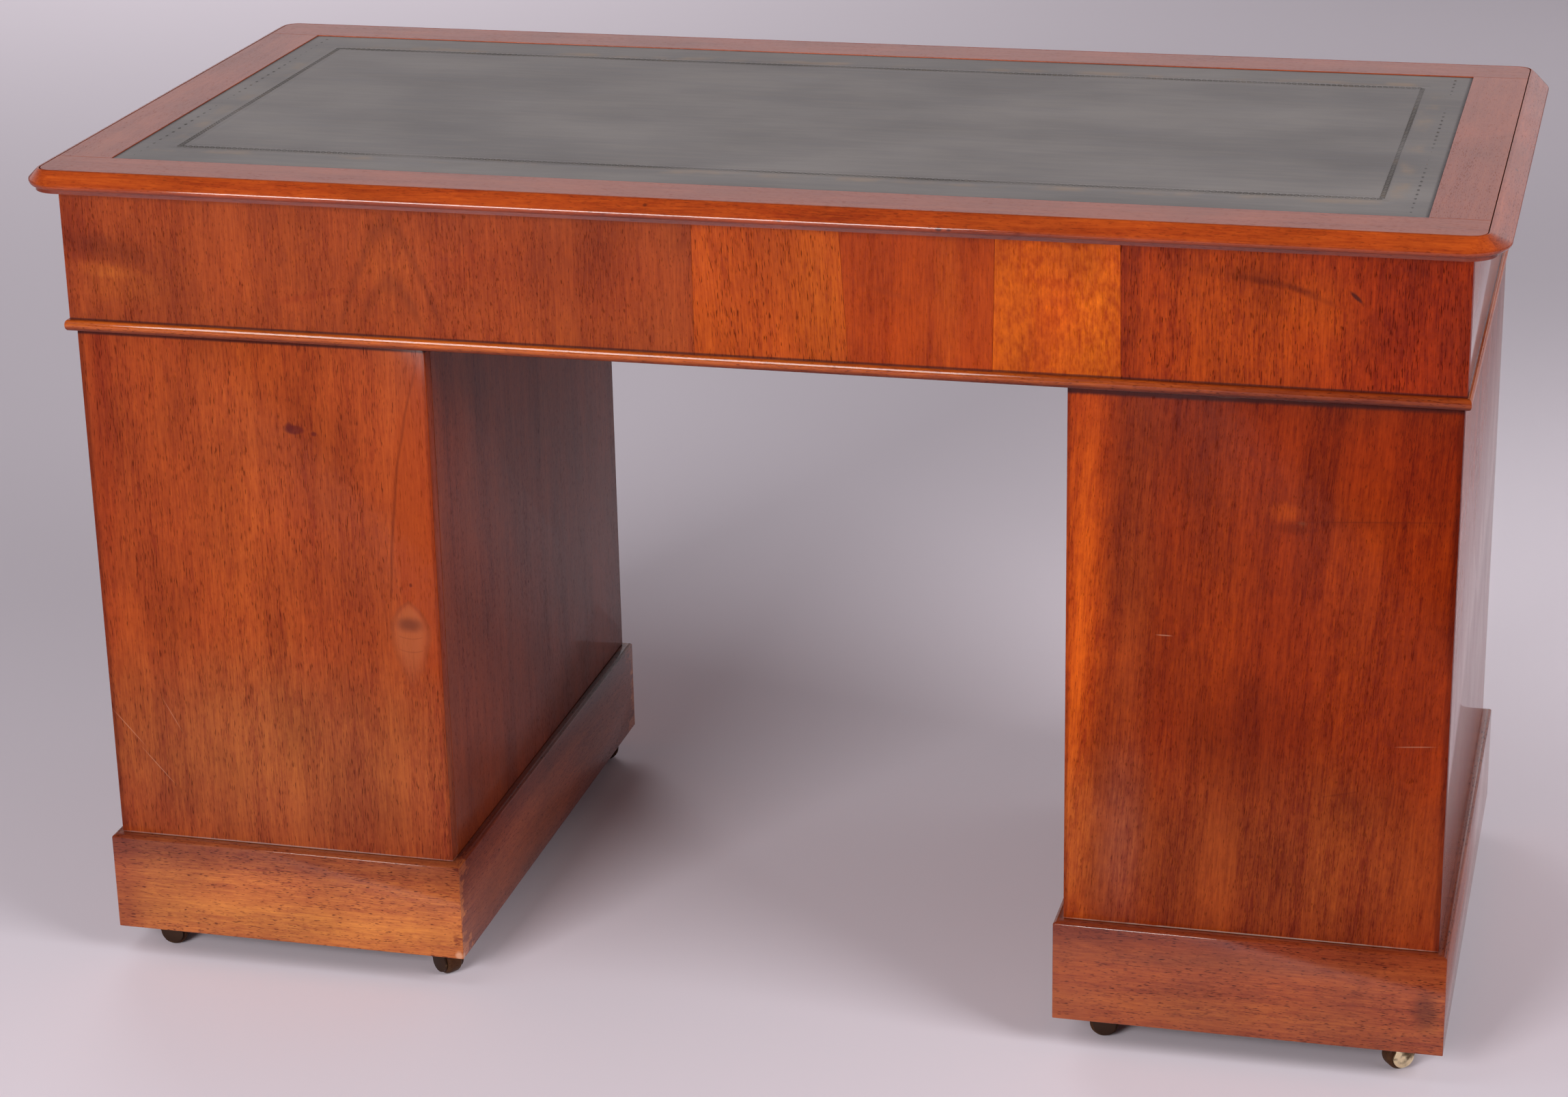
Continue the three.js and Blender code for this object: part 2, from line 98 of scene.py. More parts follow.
class Value:
    """A node's output that takes part in ordinary arithmetic; each operation adds its Math node."""

    def __init__(self, graph: "Graph", socket: bpy.types.NodeSocket) -> None:
        """Wraps one output socket of a graph."""
        self.graph = graph
        self.socket = socket

    def __add__(self, other: "Value | float") -> "Value":
        """Sum."""
        return self.graph.math("ADD", self, other)

    def __radd__(self, other: "Value | float") -> "Value":
        """Sum with a number on the left."""
        return self.graph.math("ADD", other, self)

    def __sub__(self, other: "Value | float") -> "Value":
        """Difference."""
        return self.graph.math("SUBTRACT", self, other)

    def __rsub__(self, other: "Value | float") -> "Value":
        """Difference from a number on the left."""
        return self.graph.math("SUBTRACT", other, self)

    def __mul__(self, other: "Value | float") -> "Value":
        """Product."""
        return self.graph.math("MULTIPLY", self, other)

    def __rmul__(self, other: "Value | float") -> "Value":
        """Product with a number on the left."""
        return self.graph.math("MULTIPLY", other, self)

    def __truediv__(self, other: "Value | float") -> "Value":
        """Quotient."""
        return self.graph.math("DIVIDE", self, other)

    def __rtruediv__(self, other: "Value | float") -> "Value":
        """Quotient of a number on the left."""
        return self.graph.math("DIVIDE", other, self)

    def __abs__(self) -> "Value":
        """Size without sign."""
        return self.graph.math("ABSOLUTE", self)


class Graph:
    """A node tree under construction."""

    def __init__(self, tree: bpy.types.NodeTree) -> None:
        """Starts work on a tree."""
        self.tree = tree

    def node(
        self,
        kind: str,
        settings: dict[str, object] | None = None,
        inputs: dict[str | int, Input] | None = None,
    ) -> bpy.types.Node:
        """Adds one node.

        Args:
            kind: the node's type.
            settings: what is set on the node itself.
            inputs: a value or a link for each socket, by name or number.

        Returns:
            The new node.
        """
        node = self.tree.nodes.new(kind)
        for key, value in (settings or {}).items():
            setattr(node, key, value)
        for key, value in (inputs or {}).items():
            socket = node.inputs[key]
            if isinstance(value, Value):
                self.tree.links.new(value.socket, socket)
            elif isinstance(value, bpy.types.NodeSocket):
                self.tree.links.new(value, socket)
            else:
                socket.default_value = value
        return node

    def out(self, node: bpy.types.Node, key: str | int = 0) -> Value:
        """One output of a node, ready for arithmetic."""
        return Value(self, node.outputs[key])

    def math(self, operation: str, *operands: "Value | float") -> Value:
        """Adds a Math node for one operation on up to three values."""
        return self.out(self.node("ShaderNodeMath", {"operation": operation}, dict(enumerate(operands))))

    def clamp(self, value: Value) -> Value:
        """Keeps a value between 0 and 1."""
        return self.out(self.node("ShaderNodeClamp", {}, {"Value": value}))

    def smooth(self, value: Value, low: float, high: float) -> Value:
        """A soft step: 0 below low, 1 above high (or the other way round where low is the larger)."""
        inputs = {"Value": value, "From Min": low, "From Max": high}
        return self.out(self.node("ShaderNodeMapRange", {"interpolation_type": "SMOOTHSTEP"}, inputs))

    def vector(self, x: "Value | float", y: "Value | float", z: "Value | float" = 0.0) -> Value:
        """Three numbers as one vector."""
        return self.out(self.node("ShaderNodeCombineXYZ", {}, {0: x, 1: y, 2: z}))

    def split(self, vector: Value) -> tuple[Value, Value, Value]:
        """A vector's three numbers."""
        parts = self.node("ShaderNodeSeparateXYZ", {}, {0: vector})
        return self.out(parts, 0), self.out(parts, 1), self.out(parts, 2)

    def noise(self, vector: Value, detail: float = 1.0, roughness: float = 0.5) -> Value:
        """Smooth noise about 0.5, one unit of the vector to a feature."""
        inputs = {"Vector": vector, "Scale": 1.0, "Detail": detail, "Roughness": roughness}
        return self.out(self.node("ShaderNodeTexNoise", {}, inputs))

    def place(self, kind: str = "Object") -> tuple[Value, Value, Value]:
        """Where a point is, in one of the Texture Coordinate node's ways."""
        return self.split(self.out(self.node("ShaderNodeTexCoord"), kind))

    def bump(self, height: Value, strength: float, distance: float) -> Value:
        """The normal of a surface with small heights in it."""
        inputs = {"Height": height, "Strength": strength, "Distance": distance}
        return self.out(self.node("ShaderNodeBump", {}, inputs))

    def surface(self, inputs: dict[str | int, Input]) -> Value:
        """A shader from what its sockets are given."""
        return self.out(self.node("ShaderNodeBsdfPrincipled", {}, inputs))

    def blend(
        self,
        share: "Value | float",
        first: "Value | Colour",
        second: "Value | Colour",
        how: str = "MIX",
    ) -> Value:
        """Mixes two colours.

        Args:
            share: how much of the second colour there is, 0 to 1.
            first: the colour at 0.
            second: the colour at 1.
            how: the way of mixing, such as MIX or MULTIPLY.

        Returns:
            The mixed colour.
        """
        colours = [c if isinstance(c, Value) else rgba(c) for c in (first, second)]
        settings = {"data_type": "RGBA", "blend_type": how}
        mixer = self.node("ShaderNodeMix", settings, {0: share, 6: colours[0], 7: colours[1]})
        return self.out(mixer, 2)


class Recipe(Graph):
    """A Geometry Nodes tree with named inputs, run once and kept as a plain mesh."""

    KINDS = {int: "NodeSocketInt", float: "NodeSocketFloat", bpy.types.Object: "NodeSocketObject"}

    def __init__(self, name: str, **sizes: float | int | bpy.types.Object) -> None:
        """Starts a tree.

        Args:
            name: the tree's name, which the finished piece takes too.
            sizes: the named inputs and their values.
        """
        super().__init__(bpy.data.node_groups.new(name, "GeometryNodeTree"))
        self.name = name
        self.values: dict[str, float | int | bpy.types.Object] = {}
        for label, value in sizes.items():
            kind = self.KINDS[type(value)]
            socket = self.tree.interface.new_socket(name=label, in_out="INPUT", socket_type=kind)
            self.values[socket.identifier] = value
        self.tree.interface.new_socket(name="Shape", in_out="OUTPUT", socket_type="NodeSocketGeometry")
        self.entry = self.node("NodeGroupInput")

    def size(self, label: str) -> Value:
        """A named input of the tree."""
        return self.out(self.entry, label)

    def join(self, *parts: Value) -> Value:
        """Several geometries as one."""
        joiner = self.node("GeometryNodeJoinGeometry")
        for part in parts:
            self.tree.links.new(part.socket, joiner.inputs[0])
        return self.out(joiner)

    def make(self, shape: Value, material: bpy.types.Material) -> bpy.types.Object:
        """Ends the tree, runs it and keeps the result.

        Args:
            shape: the geometry to keep.
            material: what all of it is made of.

        Returns:
            A new object with a plain mesh and no modifier.
        """
        real = self.out(self.node("GeometryNodeRealizeInstances", {}, {0: shape}))
        made = self.out(self.node("GeometryNodeSetMaterial", {}, {"Geometry": real, "Material": material}))
        self.node("NodeGroupOutput", {}, {0: made})
        carrier = new_object(f"{self.name}_carrier", bpy.data.meshes.new(self.name))
        modifier = carrier.modifiers.new("recipe", "NODES")
        modifier.node_group = self.tree
        for identifier, value in self.values.items():
            modifier[identifier] = value
        piece = new_object(self.name, evaluated_mesh(carrier))
        bpy.data.objects.remove(carrier)
        return piece


# Meshes


def new_object(name: str, data: bpy.types.ID) -> bpy.types.Object:
    """An object of that name, linked to the scene at the world's origin."""
    thing = bpy.data.objects.new(name, data)
    bpy.context.scene.collection.objects.link(thing)
    return thing


def evaluated_mesh(thing: bpy.types.Object) -> bpy.types.Mesh:
    """A plain mesh of an object with its modifiers applied."""
    graph = bpy.context.evaluated_depsgraph_get()
    graph.update()
    return bpy.data.meshes.new_from_object(
        thing.evaluated_get(graph), preserve_all_data_layers=True, depsgraph=graph
    )


def bake_modifiers(thing: bpy.types.Object) -> bpy.types.Object:
    """Applies an object's modifiers to its mesh and removes them."""
    mesh = evaluated_mesh(thing)
    thing.modifiers.clear()
    thing.data = mesh
    return thing


def tidy_faces(mesh: bpy.types.Mesh) -> None:
    """Merges a closed mesh's doubled corners and turns its faces outwards."""
    work = bmesh.new()
    work.from_mesh(mesh)
    bmesh.ops.remove_doubles(work, verts=work.verts, dist=TINY)
    bmesh.ops.recalc_face_normals(work, faces=work.faces)
    work.to_mesh(mesh)
    work.free()


def mesh_of(name: str, points: Sequence[Sequence[float]], faces: Sequence[Sequence[int]]) -> bpy.types.Object:
    """A mesh object from points and faces, with its faces turned outwards.

    Args:
        name: the object's name.
        points: the corners, in metres.
        faces: the corners of each face, by number.

    Returns:
        The new object.
    """
    mesh = bpy.data.meshes.new(name)
    mesh.from_pydata([tuple(p) for p in points], [], [tuple(f) for f in faces])
    tidy_faces(mesh)
    return new_object(name, mesh)


def loop_faces(loops: int, count: int, closed: bool) -> list[tuple[int, ...]]:
    """The faces between loops of points that follow one another.

    Args:
        loops: how many loops there are.
        count: how many points each loop has.
        closed: whether the last loop is joined to the first.

    Returns:
        Four corners for each face, by number.
    """
    faces = []
    for loop in range(loops if closed else loops - 1):
        here = loop * count
        there = (loop + 1) % loops * count
        for i in range(count):
            beside = (i + 1) % count
            faces.append((here + i, here + beside, there + beside, there + i))
    return faces


def arc(centre: Point, radii: Point, turn: Point, steps: int) -> list[Point]:
    """Points on a round or oval arc.

    Args:
        centre: the arc's centre.
        radii: its half axes.
        turn: the angles at its two ends, in degrees.
        steps: how many straight stretches it has.

    Returns:
        One more point than there are steps.
    """
    angles = [math.radians(turn[0] + (turn[1] - turn[0]) * i / steps) for i in range(steps + 1)]
    return [(centre[0] + radii[0] * math.cos(a), centre[1] + radii[1] * math.sin(a)) for a in angles]


def smooth_shaded(thing: bpy.types.Object, sharp_degrees: float = 35.0) -> bpy.types.Object:
    """Shades a piece smooth, apart from edges sharper than an angle."""
    mesh = thing.data
    mesh.polygons.foreach_set("use_smooth", [True] * len(mesh.polygons))
    mesh.set_sharp_from_angle(angle=math.radians(sharp_degrees))
    return thing


def eased(
    thing: bpy.types.Object, width: float, steps: int = 2, from_degrees: float = 32.0
) -> bpy.types.Object:
    """Rounds a piece's edges, as sandpaper and handling do.

    Args:
        thing: the piece.
        width: the width of the rounding, in metres.
        steps: how many flats make it.
        from_degrees: edges that turn less than this stay as they are.

    Returns:
        The same piece.
    """
    thing.data.polygons.foreach_set("use_smooth", [True] * len(thing.data.polygons))
    bevel = thing.modifiers.new("eased edges", "BEVEL")
    bevel.width = width
    bevel.segments = steps
    bevel.limit_method = "ANGLE"
    bevel.angle_limit = math.radians(from_degrees)
    bevel.harden_normals = True
    return bake_modifiers(thing)


def lathed(name: str, profile: Sequence[Point], foot: Vector, axis: Vector, steps: int) -> bpy.types.Object:
    """A turned piece.

    Args:
        name: the object's name.
        profile: (radius, height) points from one end of the axis to the other; radius 0 closes a pole.
        foot: where height 0 is.
        axis: the direction in which height grows.
        steps: how many sides the piece has.

    Returns:
        The new object, shaded smooth.
    """
    across = axis.orthogonal().normalized()
    beside = axis.cross(across).normalized()
    turns = [2 * math.pi * i / steps for i in range(steps)]
    points = [
        foot + axis * height + (across * math.cos(t) + beside * math.sin(t)) * radius
        for radius, height in profile
        for t in turns
    ]
    faces = loop_faces(len(profile), steps, closed=False)
    has_flat_ends = profile[0][0] > 0 and profile[0] != profile[-1]
    if has_flat_ends:
        faces.append(tuple(range(steps)))
        faces.append(tuple(range((len(profile) - 1) * steps, len(profile) * steps)))
    return smooth_shaded(mesh_of(name, points, faces), TURNED_SHARP)


def prism(
    name: str, outline: Sequence[Point], near: float, far: float, lift: Matrix | None = None
) -> bpy.types.Object:
    """A flat outline given thickness.

    Args:
        name: the object's name.
        outline: the corners in x and z, in metres.
        near: y of one face.
        far: y of the other.
        lift: a turn or move for all of it.

    Returns:
        The new object.
    """
    count = len(outline)
    points = [Vector((x, y, z)) for y in (near, far) for x, z in outline]
    if lift is not None:
        points = [lift @ p for p in points]
    faces = [tuple(range(count)), tuple(range(2 * count - 1, count - 1, -1))]
    faces += [(i, (i + 1) % count, count + (i + 1) % count, count + i) for i in range(count)]
    return mesh_of(name, points, faces)


def mitred_frame(name: str, half: Point, profile: Sequence[Point]) -> bpy.types.Object:
    """A moulding carried round a rectangle with mitred corners.

    Args:
        name: the object's name.
        half: the rectangle's half length and half depth, where the profile's outward offset is 0.
        profile: a loop of (outward offset, height) points.

    Returns:
        The new object.
    """
    signs = [(1, 1), (-1, 1), (-1, -1), (1, -1)]
    points = [(sx * (half[0] + out), sy * (half[1] + out), z) for sx, sy in signs for out, z in profile]
    return smooth_shaded(mesh_of(name, points, loop_faces(len(signs), len(profile), closed=True)))


def joined(name: str, parts: Sequence[bpy.types.Object]) -> bpy.types.Object:
    """Several mesh objects as one, keeping each part's material."""
    materials: list[bpy.types.Material] = []
    work = bmesh.new()
    for part in parts:
        start = len(work.faces)
        work.from_mesh(part.data)
        work.faces.ensure_lookup_table()
        own = list(part.data.materials)
        for material in own:
            if material not in materials:
                materials.append(material)
        for face in work.faces[start:]:
            if own:
                face.material_index = materials.index(own[face.material_index])
        bpy.data.objects.remove(part)
    mesh = bpy.data.meshes.new(name)
    work.to_mesh(mesh)
    work.free()
    for material in materials:
        mesh.materials.append(material)
    return new_object(name, mesh)


# Grain


class Grain(Enum):
    """Which way the wood's fibres run in a piece."""

    LENGTH = "along X"
    DEPTH = "along Y"
    UP = "along Z"
    FRAMED = "along the nearest side of a frame, changing at its mitres"


def lay_grain(
    thing: bpy.types.Object, grain: Grain, half: Point = (1.0, 1.0), middle: Point = (0.0, 0.0)
) -> None:
    """Writes each corner's place in the wood, as across, along and through the fibres.

    Args:
        thing: the piece, with its place in its mesh.
        grain: which way the fibres run.
        half: for a framed piece, the frame's half length and half depth.
        middle: for a framed piece, the frame's middle.
    """
    mesh = thing.data
    points = np.zeros(len(mesh.vertices) * 3, np.float32)
    mesh.vertices.foreach_get("co", points)
    corners = np.zeros(len(mesh.loops), np.int32)
    mesh.loops.foreach_get("vertex_index", corners)
    places = points.reshape(-1, 3)[corners]
    x, y, z = places[:, 0], places[:, 1], places[:, 2]
    orders = {Grain.LENGTH: (z, x, y), Grain.DEPTH: (z, y, x), Grain.UP: (x, z, y)}
    if grain is Grain.FRAMED:
        centres = np.zeros(len(mesh.polygons) * 3, np.float32)
        mesh.polygons.foreach_get("center", centres)
        counts = np.zeros(len(mesh.polygons), np.int32)
        mesh.polygons.foreach_get("loop_total", counts)
        centres = np.repeat(centres.reshape(-1, 3), counts, axis=0)
        from_end = half[0] - np.abs(centres[:, 0] - middle[0])
        from_side = half[1] - np.abs(centres[:, 1] - middle[1])
        at_end = (from_end < from_side)[:, None]
        laid = np.where(at_end, np.stack((z, y, x), 1), np.stack((z, x, y), 1))
    else:
        laid = np.stack(orders[grain], 1)
    attribute = mesh.attributes.new("grain", "FLOAT_VECTOR", "CORNER")
    attribute.data.foreach_set("vector", np.ascontiguousarray(laid, np.float32).ravel())


# Finishes


@dataclass(frozen=True)
class Finish:
    """What a piece is made of and how its surface is worked."""

    name: str
    slot: str

    def shader(self, graph: Graph) -> Value:
        """Builds the surface; each kind of finish has its own."""
        raise NotImplementedError

    def material(self) -> bpy.types.Material:
        """The finish as a material, made the first time it is asked for."""
        found = bpy.data.materials.get(self.name)
        if found:
            return found
        material = bpy.data.materials.new(self.name)
        material.use_nodes = True
        material.node_tree.nodes.clear()
        graph = Graph(material.node_tree)
        graph.node("ShaderNodeOutputMaterial", {}, {"Surface": self.shader(graph)})
        return material

    def dress(self, thing: bpy.types.Object) -> None:
        """Gives a piece this finish alone."""
        if thing.data.materials:
            thing.data.materials[0] = self.material()
        else:
            thing.data.materials.append(self.material())


@dataclass(frozen=True)
class Mark:
    """A soft-edged oval mark in the surface, such as a stain, a dark swirl, a bright streak, a scratch, a
    band of painted shade or shadow, or a painted reflection.

    Its place and half sizes are in millimetres across and along the fibres, before it is turned.
    """

    across: float
    along: float
    half_across: float
    half_along: float
    tint: Colour
    strength: float = 0.6
    turn: float = 0.0
    softness: float = 0.6
    ragged: float = 0.4
    keeps_grain: bool = False

    def paint(self, graph: Graph, colour: Value, across: Value, along: Value, unevenness: Value) -> Value:
        """Paints the mark over the wood, or tints the wood where the mark keeps the grain.

        Args:
            graph: the material's tree.
            colour: the wood's colour.
            across: place across the fibres, in metres.
            along: place along them.
            unevenness: noise about 0.

        Returns:
            The colour with the mark in it.
        """
        how = "MULTIPLY" if self.keeps_grain else "MIX"
        return graph.blend(self.mask(graph, across, along, unevenness), colour, self.tint, how)

    def mask(self, graph: Graph, across: Value, along: Value, unevenness: Value) -> Value:
        """How strongly the mark shows at a place.

        Args:
            graph: the material's tree.
            across: place across the fibres, in metres.
            along: place along them.
            unevenness: noise about 0, which makes the outline ragged.

        Returns:
            0 outside the mark, up to its strength inside.
        """
        cos, sin = math.cos(math.radians(self.turn)), math.sin(math.radians(self.turn))
        dx = across - self.across * MM
        dy = along - self.along * MM
        u = (dx * cos + dy * sin) / (self.half_across * MM)
        v = (dy * cos - dx * sin) / (self.half_along * MM)
        distance = graph.math("SQRT", u * u + v * v) + unevenness * self.ragged
        return graph.smooth(distance, 1 + self.softness, 1 - self.softness) * self.strength


@dataclass(frozen=True)
class Heart:
    """Crowned growth rings, as in a board cut beside the heart of the log; the crowns point up the fibres.

    Its place and sizes are in millimetres; crowns gives the heights of the rings that show most.
    """

    across: float
    depth: float
    taper: float
    crowns: tuple[float, ...]
    foot: float
    reach: Point = (60.0, 110.0)
    ring_width: float = 4.6
    ring_tint: Colour = (0.55, 0.5, 0.7)
    ring_strength: float = 0.5
    waver: float = 2.5
    foot_fade: Point = (-20.0, 25.0)

    def rings(self, graph: Graph, across: Value, along: Value) -> Value:
        """Distance from the heart in metres, which has one value along each growth ring."""
        side = across - self.across * MM
        return graph.math("SQRT", side * side + (self.depth * MM) ** 2) + along * self.taper

    def paint(self, graph: Graph, colour: Value, across: Value, along: Value, unevenness: Value) -> Value:
        """Draws the rings that show most over the wood.

        Args:
            graph: the material's tree.
            colour: the wood's colour.
            across: place across the fibres, in metres.
            along: place along them.
            unevenness: noise about 0.

        Returns:
            The colour with the rings in it.
        """
        rings = self.rings(graph, across, along) + unevenness * (self.waver * MM)
        side = abs(across - self.across * MM)
        fade = graph.smooth(side, self.reach[1] * MM, self.reach[0] * MM)
        start, full = (self.foot + offset for offset in self.foot_fade)
        fade = fade * graph.smooth(along, start * MM, full * MM)
        for crown in self.crowns:
            away = abs(rings - (self.depth + self.taper * crown) * MM)
            line = graph.smooth(away, self.ring_width * MM, 0.0) * fade * self.ring_strength
            colour = graph.blend(line, colour, self.ring_tint, "MULTIPLY")
        return colour


@dataclass(frozen=True)
class Eye:
    """A closed-over knot: a pale leaf-shaped patch with a dark smudge in its upper part and fine dark lines.

    Its place and sizes are in millimetres; above and below give how far its two points reach.
    """

    across: float
    along: float
    half_across: float
    above: float
    below: float
    pale: Colour = (0.33, 0.078, 0.024)
    pale_strength: float = 0.8
    line: Colour = (0.07, 0.014, 0.006)
    line_strength: float = 0.2
    smudge: Colour = (0.12, 0.024, 0.01)
    smudge_strength: float = 0.8
    smudge_lift: float = 5.0

    def paint(self, graph: Graph, colour: Value, across: Value, along: Value, unevenness: Value) -> Value:
        """Paints the eye over the wood.

        Args:
            graph: the material's tree.
            colour: the wood's colour.
            across: place across the fibres, in metres.
            along: place along them.
            unevenness: noise about 0.

        Returns:
            The colour with the eye in it.
        """
        side = (across - self.across * MM) / (self.half_across * MM)
        rise = along - self.along * MM
        upper = graph.math("MAXIMUM", rise, 0.0) / (self.above * MM)
        lower = graph.math("MINIMUM", rise, 0.0) / (self.below * MM)
        height = upper + lower
        distance = graph.math("SQRT", side * side + 0.001) + height * height + unevenness * 0.16
        tail = graph.smooth(height, -1.0, -0.25) * 0.65 + 0.35
        colour = graph.blend(graph.smooth(distance, 1.3, 0.5) * tail * self.pale_strength, colour, self.pale)
        rim = graph.smooth(abs(distance - 1.0), 0.22, 0.02) * self.line_strength
        colour = graph.blend(rim * tail, colour, self.line)
        core_side = side * 1.15
        core_rise = (rise - self.smudge_lift * MM) / (0.5 * self.half_across * MM)
        core = graph.math("SQRT", core_side * core_side + core_rise * core_rise) + unevenness * 0.5
        colour = graph.blend(graph.smooth(core, 1.25, 0.2) * self.smudge_strength, colour, self.smudge)
        for drop in (0.5, 1.25):
            bow = rise + (drop * self.half_across * MM) - side * side * (0.3 * self.half_across * MM)
            stroke = graph.smooth(abs(bow) + unevenness * (0.6 * MM), 0.9 * MM, 0.2 * MM)
            stroke = stroke * graph.smooth(abs(side), 0.75, 0.55) * self.line_strength
            colour = graph.blend(stroke, colour, self.line)
        return colour


@dataclass(frozen=True)
class Mahogany(Finish):
    """Mahogany with open pores under French polish."""

    tone: Colour = (0.4, 0.055, 0.008)
    bands: float = 0.9
    band_width: float = 40.0
    streaks: float = 0.5
    fibre: float = 1.1
    fleck: float = 0.45
    pores: float = 0.6
    pore_pitch: float = 170.0
    wander: float = 10.0
    lean: float = 0.0
    mottle: float = 0.14
    seed: float = 0.0
    heart: Heart | None = None
    eyes: tuple[Eye, ...] = ()
    marks: tuple[Mark, ...] = ()
    coat: float = 0.6
    coat_roughness: float = 0.1
    roughness: float = 0.42
    specular: float = 0.05
    from_object: bool = False

    # The lightest and darkest wood and the pores, as shares of the tone
    LIGHT_SHARES = (1.32, 1.7, 1.2)
    DARK_SHARES = (0.6, 0.45, 0.6)
    PORE_SHARES = (0.22, 0.16, 0.3)

    # How many features each pattern has to a metre, across the fibres and along them
    WANDER_FEATURES = (6, 1.7)
    STREAK_FEATURES = (150, 7.0)
    FIBRE_FEATURES = (750, 42)
    FLECK_FEATURES = (260, 120)
    BLOTCH_FEATURES = (17, 11)
    RAGGED_FEATURES = (120, 60)
    RUBBED_FEATURES = (30, 14)
    UNLEVEL_FEATURES = (45, 20)
    BANDS_ALONG = 2.2
    PORES_ACROSS = 1300

    def stained(self, shares: Colour) -> Colour:
        """The wood's tone with each of its parts made stronger or weaker."""
        return tuple(part * share for part, share in zip(self.tone, shares))

    def shader(self, graph: Graph) -> Value:
        """Builds the wood from its growth rings up to its polish."""
        across, along, through = self.place(graph)

        def pattern(field: Value, features: Point, detail: float, seed: float = self.seed) -> Value:
            """Noise about 0.5, drawn out along the fibres."""
            spot = graph.vector(field * features[0], along * features[1], through * features[0] + seed)
            return graph.noise(spot, detail)

        wide = pattern(across, self.WANDER_FEATURES, 1.0)
        line = across + (wide - 0.5) * (self.wander * MM) + along * self.lean
        band = pattern(line, (1000 / self.band_width, self.BANDS_ALONG), 1.5) - 0.5
        streak = pattern(line, self.STREAK_FEATURES, 2.5) - 0.5
        fibre = pattern(line, self.FIBRE_FEATURES, 2.0) - 0.5
        fleck = pattern(line, self.FLECK_FEATURES, 2.0) - 0.5
        tone = 0.5 + band * self.bands + streak * self.streaks + fibre * self.fibre + fleck * self.fleck
        dark, light = self.stained(self.DARK_SHARES), self.stained(self.LIGHT_SHARES)
        colour = graph.blend(graph.clamp(tone), dark, light)
        blotch = pattern(across, self.BLOTCH_FEATURES, 2.0)
        level = 1 - self.mottle + graph.smooth(blotch, 0.2, 0.8) * (2 * self.mottle)
        colour = graph.blend(1.0, colour, graph.vector(level, level, level), "MULTIPLY")
        crowding = 0.2 * streak + 0.15 * band
        opening = pattern(line, (self.PORES_ACROSS, self.pore_pitch), 1.0) - 0.5
        pore = graph.smooth(opening - crowding, 0.1, 0.2)
        colour = graph.blend(pore * self.pores, colour, self.stained(self.PORE_SHARES))
        ragged = pattern(across, self.RAGGED_FEATURES, 3.0, 0.0) - 0.5
        if self.heart:
            colour = self.heart.paint(graph, colour, across, along, blotch - 0.5)
        for mark in self.marks:
            colour = mark.paint(graph, colour, across, along, ragged)
        for eye in self.eyes:
            colour = eye.paint(graph, colour, across, along, ragged)
        rubbed = pattern(across, self.RUBBED_FEATURES, 3.0, 0.0)
        unlevel = pattern(across, self.UNLEVEL_FEATURES, 2.0, 0.0)
        return self.polish(graph, colour, pore, rubbed, unlevel)

    def place(self, graph: Graph) -> tuple[Value, Value, Value]:
        """Where a point is across, along and through the fibres, which run along X in an unseen board."""
        if self.from_object:
            x, y, z = graph.place()
            return z, x, y
        laid = graph.node("ShaderNodeAttribute", {"attribute_name": "grain"})
        return graph.split(graph.out(laid, "Vector"))

    def polish(self, graph: Graph, colour: Value, pore: Value, rubbed: Value, unlevel: Value) -> Value:
        """The polished surface over a colour.

        Args:
            graph: the material's tree.
            colour: the wood's own colour.
            pore: 1 in an open pore, 0 between them.
            rubbed: noise about 0.5, for how far the polish has been rubbed.
            unlevel: noise about 0.5, for the board's slight waves.

        Returns:
            The shader.
        """
        height = unlevel * 0.5 - pore * 0.08
        inputs = {
            "Base Color": colour,
            "Roughness": self.roughness + (rubbed - 0.5) * 0.25 + pore * 0.2,
            "Specular IOR Level": self.specular,
            "Coat Weight": graph.clamp(self.coat * (0.75 + rubbed * 0.5) - pore * 0.2),
            "Coat Roughness": self.coat_roughness,
            "Normal": graph.bump(height, 0.3, 0.4 * MM),
        }
        return graph.surface(inputs)


